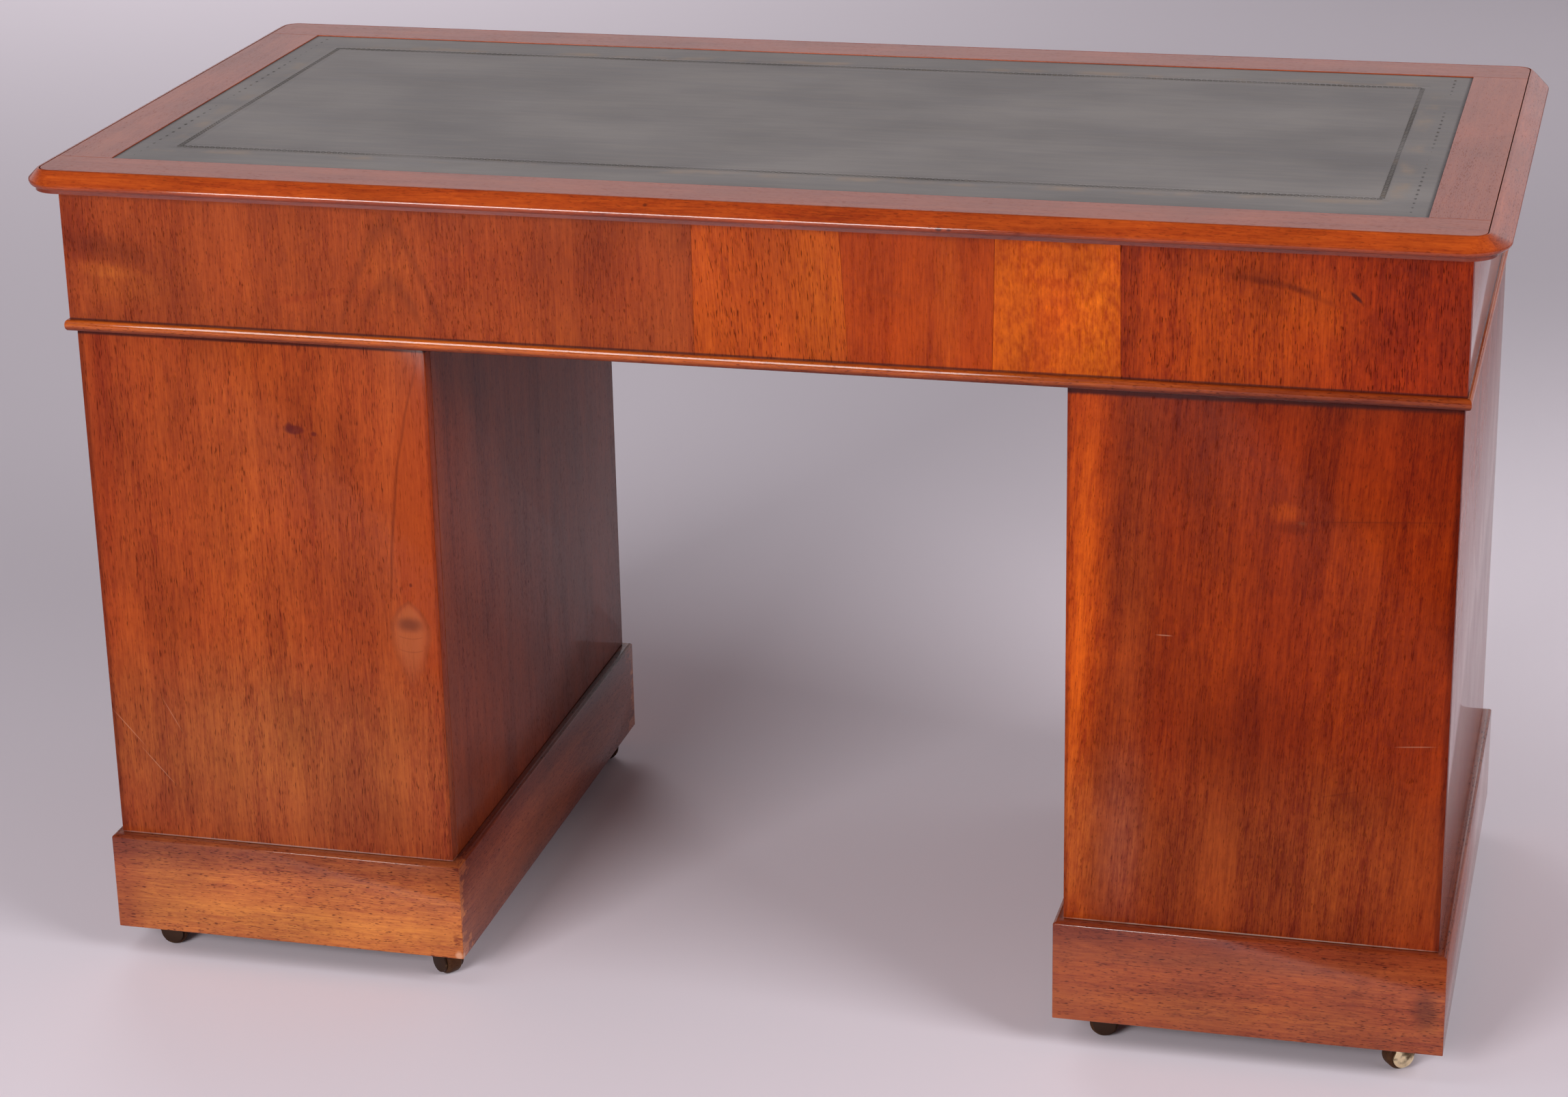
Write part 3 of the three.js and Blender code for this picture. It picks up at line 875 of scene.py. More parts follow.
@dataclass(frozen=True)
class Leather(Finish):
    """A thin skiver, faded unevenly, with a tooled border near its edge."""

    ground: Colour = (0.135, 0.122, 0.118)
    faded: Colour = (0.275, 0.245, 0.228)
    tan: Colour = (0.36, 0.24, 0.15)
    edge: Colour = (0.03, 0.02, 0.02)
    border: Point = (0.526, 0.198)
    border_width: float = 11.0
    outline: Point = (0.5677, 0.2497)

    def shader(self, graph: Graph) -> Value:
        """Builds the leather's colour, pebbled grain and satin face."""
        x, y, z = graph.place()
        cloud = graph.noise(graph.vector(x * 5, y * 9, 3.0), 4.0)
        wipe = graph.noise(graph.vector(x * 12, y * 110, 8.0), 4.0)
        colour = graph.blend(graph.smooth(cloud * 0.55 + wipe * 0.45, 0.3, 0.72), self.ground, self.faded)
        from_border = self._box_distance(graph, x, y, self.border)
        wear = graph.noise(graph.vector(x * 60, y * 60, 1.0), 3.0) - 0.5
        patchy = graph.smooth(graph.noise(graph.vector(x * 22, y * 22, 6.0), 3.0), 0.45, 0.7)
        band = graph.smooth(abs(from_border - 0.012) + wear * 0.006, self.border_width * MM, 0.002)
        colour = graph.blend(band * patchy * 0.6, colour, self.tan)
        rim = graph.smooth(self._box_distance(graph, x, y, self.outline), -0.0035, -0.0008)
        colour = graph.blend(rim * 0.8, colour, self.edge)
        pebble = graph.node("ShaderNodeTexVoronoi", {}, {"Vector": graph.vector(x, y, z), "Scale": 1100.0})
        crease = graph.noise(graph.vector(x * 40 + y * 25, y * 130, 5.0), 4.0)
        height = graph.out(pebble, "Distance") * 0.4 + crease * 1.0
        inputs = {
            "Base Color": colour,
            "Roughness": 0.42 + (wipe - 0.5) * 0.3,
            "Specular IOR Level": 0.5,
            "Normal": graph.bump(height, 0.5, 0.25 * MM),
        }
        return graph.surface(inputs)

    @staticmethod
    def _box_distance(graph: Graph, x: Value, y: Value, half: Point) -> Value:
        """Distance outside a rectangle's sides, negative inside it."""
        return graph.math("MAXIMUM", abs(x) - half[0], abs(y) - half[1])


@dataclass(frozen=True)
class Gilt(Finish):
    """The tooling on the leather, from which most of the gold has worn."""

    bright: Colour = (0.17, 0.12, 0.08)
    worn: Colour = (0.095, 0.085, 0.08)

    def shader(self, graph: Graph) -> Value:
        """Builds patchy gold, mostly rubbed away."""
        x, y, _ = graph.place()
        left = graph.smooth(graph.noise(graph.vector(x * 45, y * 45, 2.0), 3.0), 0.52, 0.75)
        inputs = {
            "Base Color": graph.blend(left, self.worn, self.bright),
            "Roughness": 0.45 - left * 0.1,
            "Metallic": left * 0.3,
        }
        return graph.surface(inputs)


@dataclass(frozen=True)
class Brass(Finish):
    """Old brass, tarnished in the hollows and rubbed bright on top."""

    bright: Colour = (0.55, 0.38, 0.15)
    tarnish: Colour = (0.12, 0.075, 0.035)
    worn_share: float = 0.5

    def shader(self, graph: Graph) -> Value:
        """Builds cloudy metal with small scratches."""
        x, y, z = graph.place()
        cloud = graph.noise(graph.vector(x * 90, y * 90, z * 90), 4.0)
        clean = graph.smooth(cloud, 0.72 - 0.4 * self.worn_share, 0.82 - 0.3 * self.worn_share)
        scratch = graph.noise(graph.vector(x * 700, y * 700, z * 2600), 2.0)
        inputs = {
            "Base Color": graph.blend(clean, self.tarnish, self.bright),
            "Metallic": 0.75 + clean * 0.25,
            "Roughness": 0.5 - clean * 0.2,
            "Normal": graph.bump(scratch + cloud, 0.3, 0.1 * MM),
        }
        return graph.surface(inputs)


# The colours of marks that lie over the grain
PLAIN = (0.3, 0.037, 0.003)
DEEP = (0.09, 0.009, 0.002)
BROWN = (0.15, 0.017, 0.004)
INK = (0.035, 0.006, 0.005)
STAIN = (0.085, 0.008, 0.006)
PALE = (0.6, 0.3, 0.18)
DUST = (0.42, 0.3, 0.25)

# The tints of marks that the grain shows through, as shares of the wood's colour
GOLDEN = (1.45, 1.95, 1.5)
AMBER = (1.18, 1.4, 1.2)
UMBER = (0.62, 0.66, 1.0)
RUSSET = (0.85, 0.66, 0.7)
GLOOM = (0.5, 0.4, 0.45)

POLISHED = "polished_mahogany"

# The back is the least polished side, as it stood against a wall
BACK_COAT = 0.14


def tone_mark(
    across: float, along: float, half_across: float, half_along: float, tint: Colour, strength: float = 1.0,
    turn: float = 0.0, softness: float = 0.7,
) -> Mark:
    """A mark that the grain shows through."""
    return Mark(across, along, half_across, half_along, tint, strength, turn, softness, 0.3, keeps_grain=True)


# The dark lines where the bead and the moulding meet the frieze's back
JOINT_LINES = (
    Mark(0, 622.3, 3000, 1.2, INK, 0.75, 0, 0.5, 0.3),
    Mark(0, 741.4, 3000, 1.2, INK, 0.6, 0, 0.5, 0.3),
)

# The five leaves of veneer on the frieze's back, from the left of the photograph to its right
FRIEZE_LEAVES = (
    Mahogany(
        "frieze_leaf_crowned", POLISHED, tone=(0.25, 0.034, 0.007), band_width=30, bands=0.8, streaks=0.4,
        wander=6, heart=Heart(306, 30, 0.27, (722, 671), 628), seed=1.0, pores=0.6, coat=BACK_COAT,
        marks=(
            *JOINT_LINES,
            tone_mark(577, 690, 38, 10, GLOOM, 0.6, 8, 0.9),
            tone_mark(598, 700, 18, 30, RUSSET, 0.9, 0),
            tone_mark(572, 669, 26, 6, GOLDEN, 0.6, 4),
            tone_mark(555, 655, 34, 14, AMBER, 0.8, 0),
            tone_mark(306, 690, 26, 40, AMBER, 0.5, 0),
            tone_mark(378, 655, 34, 3, RUSSET, 0.6, -12),
            tone_mark(150, 690, 90, 30, RUSSET, 0.5, 0),
        ),
    ),
    Mahogany(
        "frieze_leaf_open_grained", POLISHED, tone=(0.367, 0.047, 0.003), seed=4.0, pores=0.85,
        pore_pitch=110, bands=0.8, fibre=1.2, lean=-0.05, coat=BACK_COAT,
        marks=(*JOINT_LINES, tone_mark(-75, 690, 22, 60, AMBER, 0.8, 0)),
    ),
    Mahogany(
        "frieze_leaf_close_grained", POLISHED, tone=(0.303, 0.031, 0.002), seed=7.0, pores=0.35, bands=0.9,
        coat=BACK_COAT,
        marks=(
            *JOINT_LINES,
            tone_mark(-182, 690, 9, 80, AMBER, 0.9, 0),
            Mark(-128, 686, 20, 2.5, BROWN, 0.25, 15, 0.9, 1.0),
        ),
    ),
    Mahogany(
        "frieze_leaf_mottled", POLISHED, tone=(0.477, 0.068, 0.002), seed=11.0, mottle=0.22, bands=0.6,
        streaks=0.4, fibre=0.8, fleck=1.4, pores=0.3, wander=16, coat=BACK_COAT,
        marks=(
            *JOINT_LINES,
            tone_mark(-262, 650, 12, 50, RUSSET, 0.7, 20),
            tone_mark(-268, 700, 30, 4, RUSSET, 0.4, 4),
            tone_mark(-305, 668, 14, 46, AMBER, 0.6, 0),
        ),
    ),
    Mahogany(
        "frieze_leaf_deep", POLISHED, tone=(0.243, 0.019, 0.001), seed=15.0, pores=0.75, pore_pitch=130,
        bands=0.9, streaks=0.7, fibre=1.5, fleck=0.9, mottle=0.2, wander=14, coat=BACK_COAT,
        marks=(
            *JOINT_LINES,
            tone_mark(-334, 680, 10, 60, UMBER, 0.4, 0),
            tone_mark(-415, 675, 75, 80, (1.2, 1.7, 1.2), 0.8, 0),
            tone_mark(-490, 690, 26, 22, AMBER, 0.9, 12),
            tone_mark(-575, 680, 46, 80, RUSSET, 0.9, 0),
            tone_mark(-450, 709, 30, 2.6, GLOOM, 0.6, 10),
            tone_mark(-478, 702, 22, 2.6, GLOOM, 0.6, 22),
            tone_mark(-425, 716, 40, 6, GLOOM, 0.35, 5),
            Mark(-516, 701, 1.6, 6.5, INK, 0.85, -48, 0.5, 0.6),
        ),
    ),
)

# The back of the sitter's right-hand pedestal, on the left of the photograph
RIGHT_BACK = Mahogany(
    "pedestal_right_back_veneer", POLISHED, tone=(0.275, 0.037, 0.008), seed=21.0, bands=0.9, streaks=0.5,
    pores=0.7, pore_pitch=110, band_width=34, coat=BACK_COAT,
    eyes=(Eye(309, 347, 17, 27, 55),),
    marks=(
        tone_mark(460, 380, 40, 210, AMBER, 0.5, 0),
        tone_mark(590, 520, 12, 160, RUSSET, 0.8, 2),
        # Painted reflection: a paler, bluer patch over the lower part of the back stands in for the floor
        # mirrored in the polish
        tone_mark(440, 200, 200, 90, (1.0, 1.6, 2.6), 0.8, 0),
        Mark(268, 458, 50, 165, PLAIN, 0.42, 2, 0.09, 0.15),
        Mark(407, 529, 9, 4, STAIN, 0.8, 4, 0.4, 1.8),
        Mark(411, 531, 4, 4, STAIN, 0.8, 0, 0.5, 1.4),
        Mark(388, 526, 2.5, 2, STAIN, 0.8, 0, 0.5, 1.0),
        Mark(295, 575, 1.1, 34, DEEP, 0.35, 16, 0.8, 0.6),
        Mark(307, 525, 1.1, 34, DEEP, 0.4, 12, 0.8, 0.6),
        Mark(316, 470, 1.2, 40, DEEP, 0.5, 7, 0.8, 0.6),
        Mark(323, 405, 1.2, 40, DEEP, 0.5, 4, 0.8, 0.6),
        Mark(306, 390, 1.4, 1.8, DEEP, 0.8, 0, 0.5, 0.4),
        Mark(590, 230, 20, 0.45, PALE, 0.3, 49, 0.5, 0.1),
        Mark(563, 193, 20, 0.45, PALE, 0.3, 49, 0.5, 0.1),
        Mark(545, 245, 16, 0.4, PALE, 0.25, 62, 0.5, 0.1),
        Mark(443, 123.2, 163, 0.7, DUST, 0.6, 0, 0.5, 1.0),
        # Painted shadow: a dark line along the top of the back, in the gap under the frieze's bead
        Mark(443, 608.6, 900, 2.2, INK, 0.9, 0, 0.5, 0.3),
        tone_mark(603.5, 370, 3.0, 2000, GLOOM, 0.8, 0),
        tone_mark(282.5, 370, 1.5, 2000, GLOOM, 0.6, 0),
        tone_mark(440, 145, 900, 36, (0.88, 0.78, 0.9), 0.6, 0),
    ),
)

# The back of the sitter's left-hand pedestal, on the right of the photograph
LEFT_BACK = Mahogany(
    "pedestal_left_back_veneer", POLISHED, tone=(0.188, 0.0145, 0.001), seed=27.0, bands=1.1, streaks=0.9,
    pores=0.5, lean=0.07, band_width=34, fleck=0.7, fibre=1.3, coat=BACK_COAT,
    eyes=(Eye(-478, 503, 3.6, 3, 4, pale_strength=0.1, smudge_strength=0.8, smudge_lift=0.0),),
    marks=(
        tone_mark(-292, 500, 22, 250, (1.8, 2.4, 2.2), 1.0, 1.5),
        tone_mark(-289, 250, 17, 250, (1.55, 2.0, 2.0), 1.0, 1.5),
        tone_mark(-338, 450, 20, 260, (1.1, 1.4, 2.4), 0.9, 2.5),
        tone_mark(-330, 230, 20, 240, (1.1, 1.4, 2.4), 0.8, 1.5),
        # Painted reflection: a paler, bluer patch over the lower part of the back stands in for the floor
        # mirrored in the polish
        tone_mark(-440, 190, 190, 80, (1.2, 2.3, 8.0), 0.8, 0),
        tone_mark(-400, 420, 34, 120, AMBER, 0.9, 3),
        tone_mark(-520, 350, 30, 200, AMBER, 0.8, 2),
        tone_mark(-430, 290, 34, 60, GLOOM, 0.5, 0),
        tone_mark(-560, 560, 60, 40, RUSSET, 0.6, 0),
        tone_mark(-462, 512, 13, 7, GOLDEN, 0.9, 0),
        tone_mark(-470, 498, 14, 4, GLOOM, 0.5, 0),
        tone_mark(-530, 506, 50, 3, GLOOM, 0.2, -3),
        tone_mark(-575, 508, 12, 8, AMBER, 0.7, 0),
        Mark(-537, 508, 62, 0.6, DEEP, 0.4, -3.6, 0.7, 0.6),
        Mark(-365, 395, 6, 0.5, PALE, 0.35, 0, 0.4, 0.2),
        Mark(-578, 311, 15, 0.45, PALE, 0.25, -5, 0.4, 0.2),
        Mark(-516, 262, 14, 0.9, DEEP, 0.35, -14, 0.7, 0.6),
        Mark(-414, 608.6, 9, 1.0, PALE, 0.7, 0, 0.5, 1.2),
        Mark(-443, 123.2, 163, 0.7, DUST, 0.6, 0, 0.5, 1.0),
        # Painted shadow: a dark line along the top of the back, in the gap under the frieze's bead
        Mark(-280, 608.6, 420, 4.2, INK, 0.95, 0, 0.4, 0.3),
        tone_mark(-603.5, 370, 3.0, 2000, GLOOM, 0.8, 0),
        tone_mark(-282.5, 370, 1.5, 2000, GLOOM, 0.6, 0),
    ),
)

RIGHT_CASE = Mahogany("pedestal_right_sides", POLISHED, tone=(0.17, 0.02, 0.003), seed=31.0, coat=0.4)
LEFT_CASE = Mahogany("pedestal_left_sides", POLISHED, tone=(0.2, 0.024, 0.004), seed=33.0, coat=0.8)
FRIEZE_ENDS = Mahogany("frieze_ends", POLISHED, tone=(0.22, 0.026, 0.004), seed=37.0, coat=1.0, specular=0.4)
RAILS = Mahogany("drawer_rails", POLISHED, tone=(0.3, 0.036, 0.005), seed=41.0)
FRONTS = Mahogany(
    "drawer_fronts", POLISHED, tone=(0.36, 0.042, 0.005), seed=43.0, bands=1.8, band_width=34, wander=26,
)
LEFT_PLINTH = Mahogany(
    "left_plinth_boards", POLISHED, tone=(0.27, 0.047, 0.015), seed=47.0, pores=0.85, coat=0.9,
    coat_roughness=0.1,
    marks=(
        tone_mark(120, 0, 16, 3000, (0.68, 0.55, 0.65), 0.9, 0),
        Mark(70, -597, 17, 9, INK, 0.55, 0, 0.8, 1.2),
        tone_mark(70, -604, 22, 12, AMBER, 0.6, 0),
        tone_mark(50, -440, 12, 150, AMBER, 0.7, 0),
        tone_mark(98, -450, 8, 120, UMBER, 0.5, 2),
    ),
)
RIGHT_PLINTH = Mahogany(
    "right_plinth_boards", POLISHED, tone=(0.43, 0.104, 0.032), seed=49.0, pores=0.85,
    marks=(
        tone_mark(122, 0, 22, 3000, (0.5, 0.4, 0.55), 0.95, 0),
        tone_mark(75, 612, 200, 22, (0.62, 0.45, 0.6), 0.8, 0),
        tone_mark(48, 430, 14, 130, AMBER, 0.6, 0),
        # Painted shade: both end faces of this plinth are darkened, standing in for the shade on the inner
        # face that looks into the kneehole
        tone_mark(75, 0, 120, 277, (0.5, 0.35, 0.45), 1.0, 0, 0.02),
        Mark(31, 277, 4, 3, PALE, 0.8, 0, 0.5, 1.6),
    ),
)
BEAD = Mahogany(
    "frieze_bead_wood", POLISHED, tone=(0.36, 0.06, 0.008), seed=51.0, coat=0.6, coat_roughness=0.06,
    marks=(
        # Painted shade: the downward-facing lower half of the bead is darkened
        tone_mark(612.5, 0, 2.6, 3000, (0.35, 0.25, 0.4), 0.95, 0),
        tone_mark(617, -500, 40, 190, (0.5, 0.36, 0.5), 0.9, 0, 0.9),
    ),
)
MOULDING = Mahogany(
    "edge_moulding_wood", "top_mahogany", tone=(0.35, 0.046, 0.008), seed=53.0, coat=0.85,
    coat_roughness=0.06, bands=0.6, streaks=0.9, pores=0.4, fibre=0.9,
    marks=(
        # Painted shade: the fillet and the downward-facing lower nose of the moulding are darkened
        tone_mark(744, 0, 4.5, 3000, (0.4, 0.3, 0.4), 0.95, 0),
        Mark(749, -180.6, 1.5, 2.4, INK, 0.8, 0, 0.4, 1.0),
        Mark(749, -189, 1.2, 2.0, INK, 0.7, 0, 0.4, 1.0),
        Mark(757, 68, 1.2, 2.0, INK, 0.6, 0, 0.4, 1.0),
        Mark(750, -47, 1.2, 2.0, INK, 0.6, 0, 0.4, 1.0),
    ),
)
BANDING = Mahogany(
    "top_banding_wood", "top_mahogany", tone=(0.36, 0.056, 0.016), seed=59.0, bands=0.5, streaks=0.5,
    fibre=0.5, fleck=0.3, pores=0.25, coat=0.7, coat_roughness=0.18, roughness=0.36,
)
TURNED = Mahogany("turned_wood", "turned_mahogany", tone=(0.24, 0.03, 0.005), seed=57.0, coat=1.0)
CORE = Mahogany(
    "core_board_wood", "core_board", tone=(0.42, 0.19, 0.1), from_object=True, coat=0.0, roughness=0.7,
)
LINING = Mahogany(
    "drawer_lining_wood", "drawer_lining", tone=(0.43, 0.21, 0.12), coat=0.0, roughness=0.6, pores=0.35,
    seed=61.0,
)
LINING_UNSEEN = Mahogany(
    "runner_wood", "drawer_lining", tone=(0.4, 0.19, 0.11), coat=0.0, roughness=0.65, pores=0.3,
    from_object=True,
)
ROLLER = Mahogany(
    "roller_wood", "castor_roller", tone=(0.06, 0.022, 0.012), coat=0.1, roughness=0.5, from_object=True,
)
SKIVER = Leather("desk_leather", "tooled_leather")
GOLD = Gilt("gold_tooling", "tooled_leather")
CASTOR_BRASS = Brass(
    "castor_brass_metal", "castor_brass", bright=(0.3, 0.19, 0.08), tarnish=(0.05, 0.025, 0.015),
    worn_share=0.25,
)
RUBBED_BRASS = Brass("rubbed_castor_brass_metal", "castor_brass", bright=(0.95, 0.8, 0.5), worn_share=1.0)
LOCK_BRASS = Brass("lock_brass_metal", "castor_brass", worn_share=0.8)


# The desk's assemblies


@dataclass
class Assembly:
    """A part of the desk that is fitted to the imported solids."""

    desk: dict[str, object]

    def fit(self, piece: bpy.types.Object, body: str, finish: Finish, *solids: str) -> bpy.types.Object:
        """Dresses a finished piece and fixes it to the body that carries it.

        Args:
            piece: the piece, in place.
            body: the body it rides on.
            finish: what it is made of.
            solids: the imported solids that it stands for.

        Returns:
            The same piece.
        """
        if not piece.data.materials:
            finish.dress(piece)
        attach(piece, body)
        if solids:
            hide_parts(*solids)
        log.info("%s on %s: %d faces", piece.name, body, len(piece.data.polygons))
        return piece

    def softened(
        self, node: str, name: str, ease: float, from_degrees: float = 32.0
    ) -> bpy.types.Object:
        """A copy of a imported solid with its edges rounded.

        Args:
            node: the solid.
            name: the new piece's name.
            ease: the rounding's width, in metres.
            from_degrees: edges that turn less than this stay as they are.

        Returns:
            The new object.
        """
        work = bmesh.new()
        work.from_mesh(self.desk["nodes"][node].data)
        bmesh.ops.remove_doubles(work, verts=work.verts, dist=TINY)
        bmesh.ops.dissolve_limit(work, angle_limit=math.radians(0.5), verts=work.verts, edges=work.edges)
        mesh = bpy.data.meshes.new(name)
        work.to_mesh(mesh)
        work.free()
        return eased(new_object(name, mesh), ease, from_degrees=from_degrees)

    def dress_solid(self, node: str, finish: Finish) -> None:
        """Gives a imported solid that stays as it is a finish."""
        solid = self.desk["nodes"][node]
        finish.dress(solid)


@dataclass
class TopUnit(Assembly):
    """The writing surface: leather let in between banding boards, inside a moulded edge."""

    leather_step: float = 9 * MM
    leather_wave: float = 0.16 * MM
    groove_offsets: tuple[float, ...] = (-6.5 * MM, 6.5 * MM)
    groove_half: float = 0.8 * MM
    groove_depth: float = 0.1 * MM
    edge_drop: float = 0.3 * MM
    leather_gap: float = 0.3 * MM
    joint_gap: float = 0.12 * MM
    board_ease: float = 0.35 * MM
    board_corner_steps: int = 6
    corner_radius: float = 13 * MM
    outer_radius: float = 42 * MM
    corner_steps: int = 20
    fillet: Point = (3.5 * MM, 4 * MM)
    slope: float = 32.0
    nose_radius: float = 4 * MM
    crest_radius: float = 1.6 * MM
    moulding_joint: float = 0.9 * MM
    arc_steps: int = 12
    link_pitch: float = 5.2 * MM
    link_size: Point = (2.4 * MM, 1.9 * MM)
    link_wire: float = 0.3 * MM
    dash_pitch: float = 14 * MM
    dash_size: tuple[float, float, float] = (2.4 * MM, 4.6 * MM, 0.35 * MM)
    dash_inset: float = 15 * MM

    # Lays a prism down, so that its outline is in plan and its thickness is height
    LAID_FLAT = Matrix(((1, 0, 0, 0), (0, 0, 1, 0), (0, 1, 0, 0), (0, 0, 0, 1)))

    def build(self) -> None:
        """Makes the whole top."""
        self.dress_solid("top_board", CORE)
        self.leather()
        self.tooling()
        self.end_dashes()
        self.banding()
        self.edge_moulding()

    def leather(self) -> None:
        """The skiver, with blind-tooled lines pressed in and slight waves where it has lifted."""
        low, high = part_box("top_leather")
        border = SKIVER.border

        def lines(half: float, ruled: float) -> list[float]:
            """Where the sheet's rows of points lie, closer together at the tooled lines."""
            count = round(2 * half / self.leather_step)
            even = [-half + 2 * half * i / count for i in range(count + 1)]
            for offset in self.groove_offsets:
                middle = ruled + offset
                for sign in (-1, 1):
                    even += [sign * (middle + k * self.groove_half) for k in (-1, 0, 1)]
            return sorted(set(even))

        xs = lines(high.x, border[0])
        ys = lines(high.y, border[1])
        spread = np.zeros((len(xs), len(ys), 3))
        spread[:, :, 0] = np.array(xs)[:, None]
        spread[:, :, 1] = np.array(ys)[None, :]
        x, y = spread[:, :, 0], spread[:, :, 1]
        wave = np.sin(x * 21 + 1.3) * np.sin(y * 33 + 0.4) + 0.6 * np.sin(x * 47 + y * 29)
        rise = self.leather_wave * wave
        distance = np.maximum(np.abs(x) - border[0], np.abs(y) - border[1])
        for offset in self.groove_offsets:
            dip = np.clip(1 - np.abs(distance - offset) / self.groove_half, 0, 1)
            rise = rise - self.groove_depth * dip
        at_edge = np.minimum(high.x - np.abs(x), high.y - np.abs(y)) < TINY
        spread[:, :, 2] = high.z + np.where(at_edge, -self.edge_drop, rise)
        rows, columns = len(xs), len(ys)
        top = spread.reshape(-1, 3)
        bottom = top.copy()
        bottom[:, 2] = low.z
        count = rows * columns
        quads = [
            (i * columns + j, (i + 1) * columns + j, (i + 1) * columns + j + 1, i * columns + j + 1)
            for i in range(rows - 1)
            for j in range(columns - 1)
        ]
        rim = [i * columns for i in range(rows)] + [(rows - 1) * columns + j for j in range(1, columns)]
        rim += [i * columns + columns - 1 for i in range(rows - 2, -1, -1)] + list(range(columns - 2, 0, -1))
        under = [tuple(count + k for k in reversed(rim))]
        walls = [(a, b, count + b, count + a) for a, b in zip(rim, rim[1:] + rim[:1])]
        sheet = mesh_of("leather_skiver", np.vstack((top, bottom)), quads + under + walls)
        smooth_shaded(sheet, FOLDED_SHARP)
        self.fit(sheet, "root", SKIVER, "top_leather")

    def tooling(self) -> None:
        """The chain of small links pressed round the leather and gilded."""
        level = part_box("top_leather")[1].z
        border = SKIVER.border
        recipe = Recipe(
            "leather_chain", Length=2 * border[0], Depth=2 * border[1], Pitch=self.link_pitch,
            Link_Length=self.link_size[0], Link_Width=self.link_size[1], Wire=self.link_wire, Level=level,
        )
        sides = {"Width": recipe.size("Length"), "Height": recipe.size("Depth")}
        path = recipe.out(recipe.node("GeometryNodeCurvePrimitiveQuadrilateral", {}, sides))
        steps = {"Curve": path, "Length": recipe.size("Pitch")}
        spots = recipe.node("GeometryNodeCurveToPoints", {"mode": "LENGTH"}, steps)
        ring = recipe.node("GeometryNodeCurvePrimitiveCircle", {}, {"Resolution": 10, "Radius": 1.0})
        oval = recipe.vector(recipe.size("Link_Length"), recipe.size("Link_Width"), 1.0)
        bent = recipe.node("GeometryNodeTransform", {}, {"Geometry": recipe.out(ring), "Scale": oval})
        round_wire = {"Resolution": 5, "Radius": recipe.size("Wire")}
        wire = recipe.node("GeometryNodeCurvePrimitiveCircle", {}, round_wire)
        tube = {"Curve": recipe.out(bent), "Profile Curve": recipe.out(wire), "Fill Caps": False}
        link = recipe.node("GeometryNodeCurveToMesh", {}, tube)
        lying = {"axis": "X", "pivot_axis": "Z"}
        tangent = {"Vector": recipe.out(spots, "Tangent")}
        turn = recipe.node("FunctionNodeAlignRotationToVector", lying, tangent)
        placed = {
            "Points": recipe.out(spots, "Points"),
            "Instance": recipe.out(link),
            "Rotation": recipe.out(turn),
        }
        chain = recipe.node("GeometryNodeInstanceOnPoints", {}, placed)
        raised = {"Geometry": recipe.out(chain), "Translation": recipe.vector(0.0, 0.0, recipe.size("Level"))}
        lifted = recipe.node("GeometryNodeTransform", {}, raised)
        piece = recipe.make(recipe.out(lifted), GOLD.material())
        self.fit(smooth_shaded(piece, PRESSED_SHARP), "root", GOLD)

    def end_dashes(self) -> None:
        """The row of short raised dashes near each end of the leather."""
        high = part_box("top_leather")[1]
        width, length, height = self.dash_size
        recipe = Recipe(
            "leather_dashes", Place=high.x - self.dash_inset, Half=high.y - self.dash_inset,
            Pitch=self.dash_pitch, Level=high.z, Dash_Width=width, Dash_Length=length, Dash_Height=height,
        )
        dash = recipe.node("GeometryNodeMeshIcoSphere", {}, {"Radius": 0.5, "Subdivisions": 2})
        shape = recipe.vector(*(recipe.size(f"Dash_{side}") for side in ("Width", "Length", "Height")))
        scaled = {"Geometry": recipe.out(dash), "Scale": shape}
        small = recipe.out(recipe.node("GeometryNodeTransform", {}, scaled))
        rows = []
        for sign in (-1, 1):
            x = recipe.size("Place") * sign
            ends = {
                "Start": recipe.vector(x, recipe.size("Half") * -1, recipe.size("Level")),
                "End": recipe.vector(x, recipe.size("Half"), recipe.size("Level")),
            }
            line = recipe.out(recipe.node("GeometryNodeCurvePrimitiveLine", {}, ends))
            steps = {"Curve": line, "Length": recipe.size("Pitch")}
            spots = recipe.out(recipe.node("GeometryNodeCurveToPoints", {"mode": "LENGTH"}, steps), "Points")
            row = recipe.node("GeometryNodeInstanceOnPoints", {}, {"Points": spots, "Instance": small})
            rows.append(recipe.out(row))
        piece = recipe.make(recipe.join(*rows), GOLD.material())
        self.fit(smooth_shaded(piece, PRESSED_SHARP), "root", GOLD)

    def banding(self) -> None:
        """Four boards round the leather: the long ones full length, the end ones between them."""
        low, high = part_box("top_banding")
        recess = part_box("top_leather")[1]
        high = high - Vector((self.moulding_joint / 2, self.moulding_joint / 2, 0))
        inner_x, inner_y = recess.x + self.leather_gap, recess.y + self.leather_gap
        small = self.joint_gap / 2
        end_y = inner_y - small
        boards = []
        for sign, side in ((-1, "front"), (1, "back")):
            boards.append((side, Grain.LENGTH, self._long_board(high.x, inner_y + small, high.y, sign)))
        for sign, side in ((-1, "left"), (1, "right")):
            x0, x1 = sorted((sign * inner_x, sign * high.x))
            boards.append((side, Grain.DEPTH, [(x0, -end_y), (x1, -end_y), (x1, end_y), (x0, end_y)]))
        for side, grain, outline in boards:
            board = eased(prism(f"banding_{side}", outline, low.z, high.z, self.LAID_FLAT), self.board_ease)
            lay_grain(board, grain)
            self.fit(board, "root", BANDING, "top_banding")

    def _long_board(self, half_x: float, inner: float, outer: float, sign: int) -> list[Point]:
        """The outline in plan of a long banding board, with its two outer corners rounded."""
        radius = self.corner_radius
        radii, level, steps = (radius, radius * sign), sign * (outer - radius), self.board_corner_steps
        right = arc((half_x - radius, level), radii, (0, 90), steps)
        left = arc((radius - half_x, level), radii, (90, 180), steps)
        return [(half_x, sign * inner), *right, *left, (-half_x, sign * inner)]

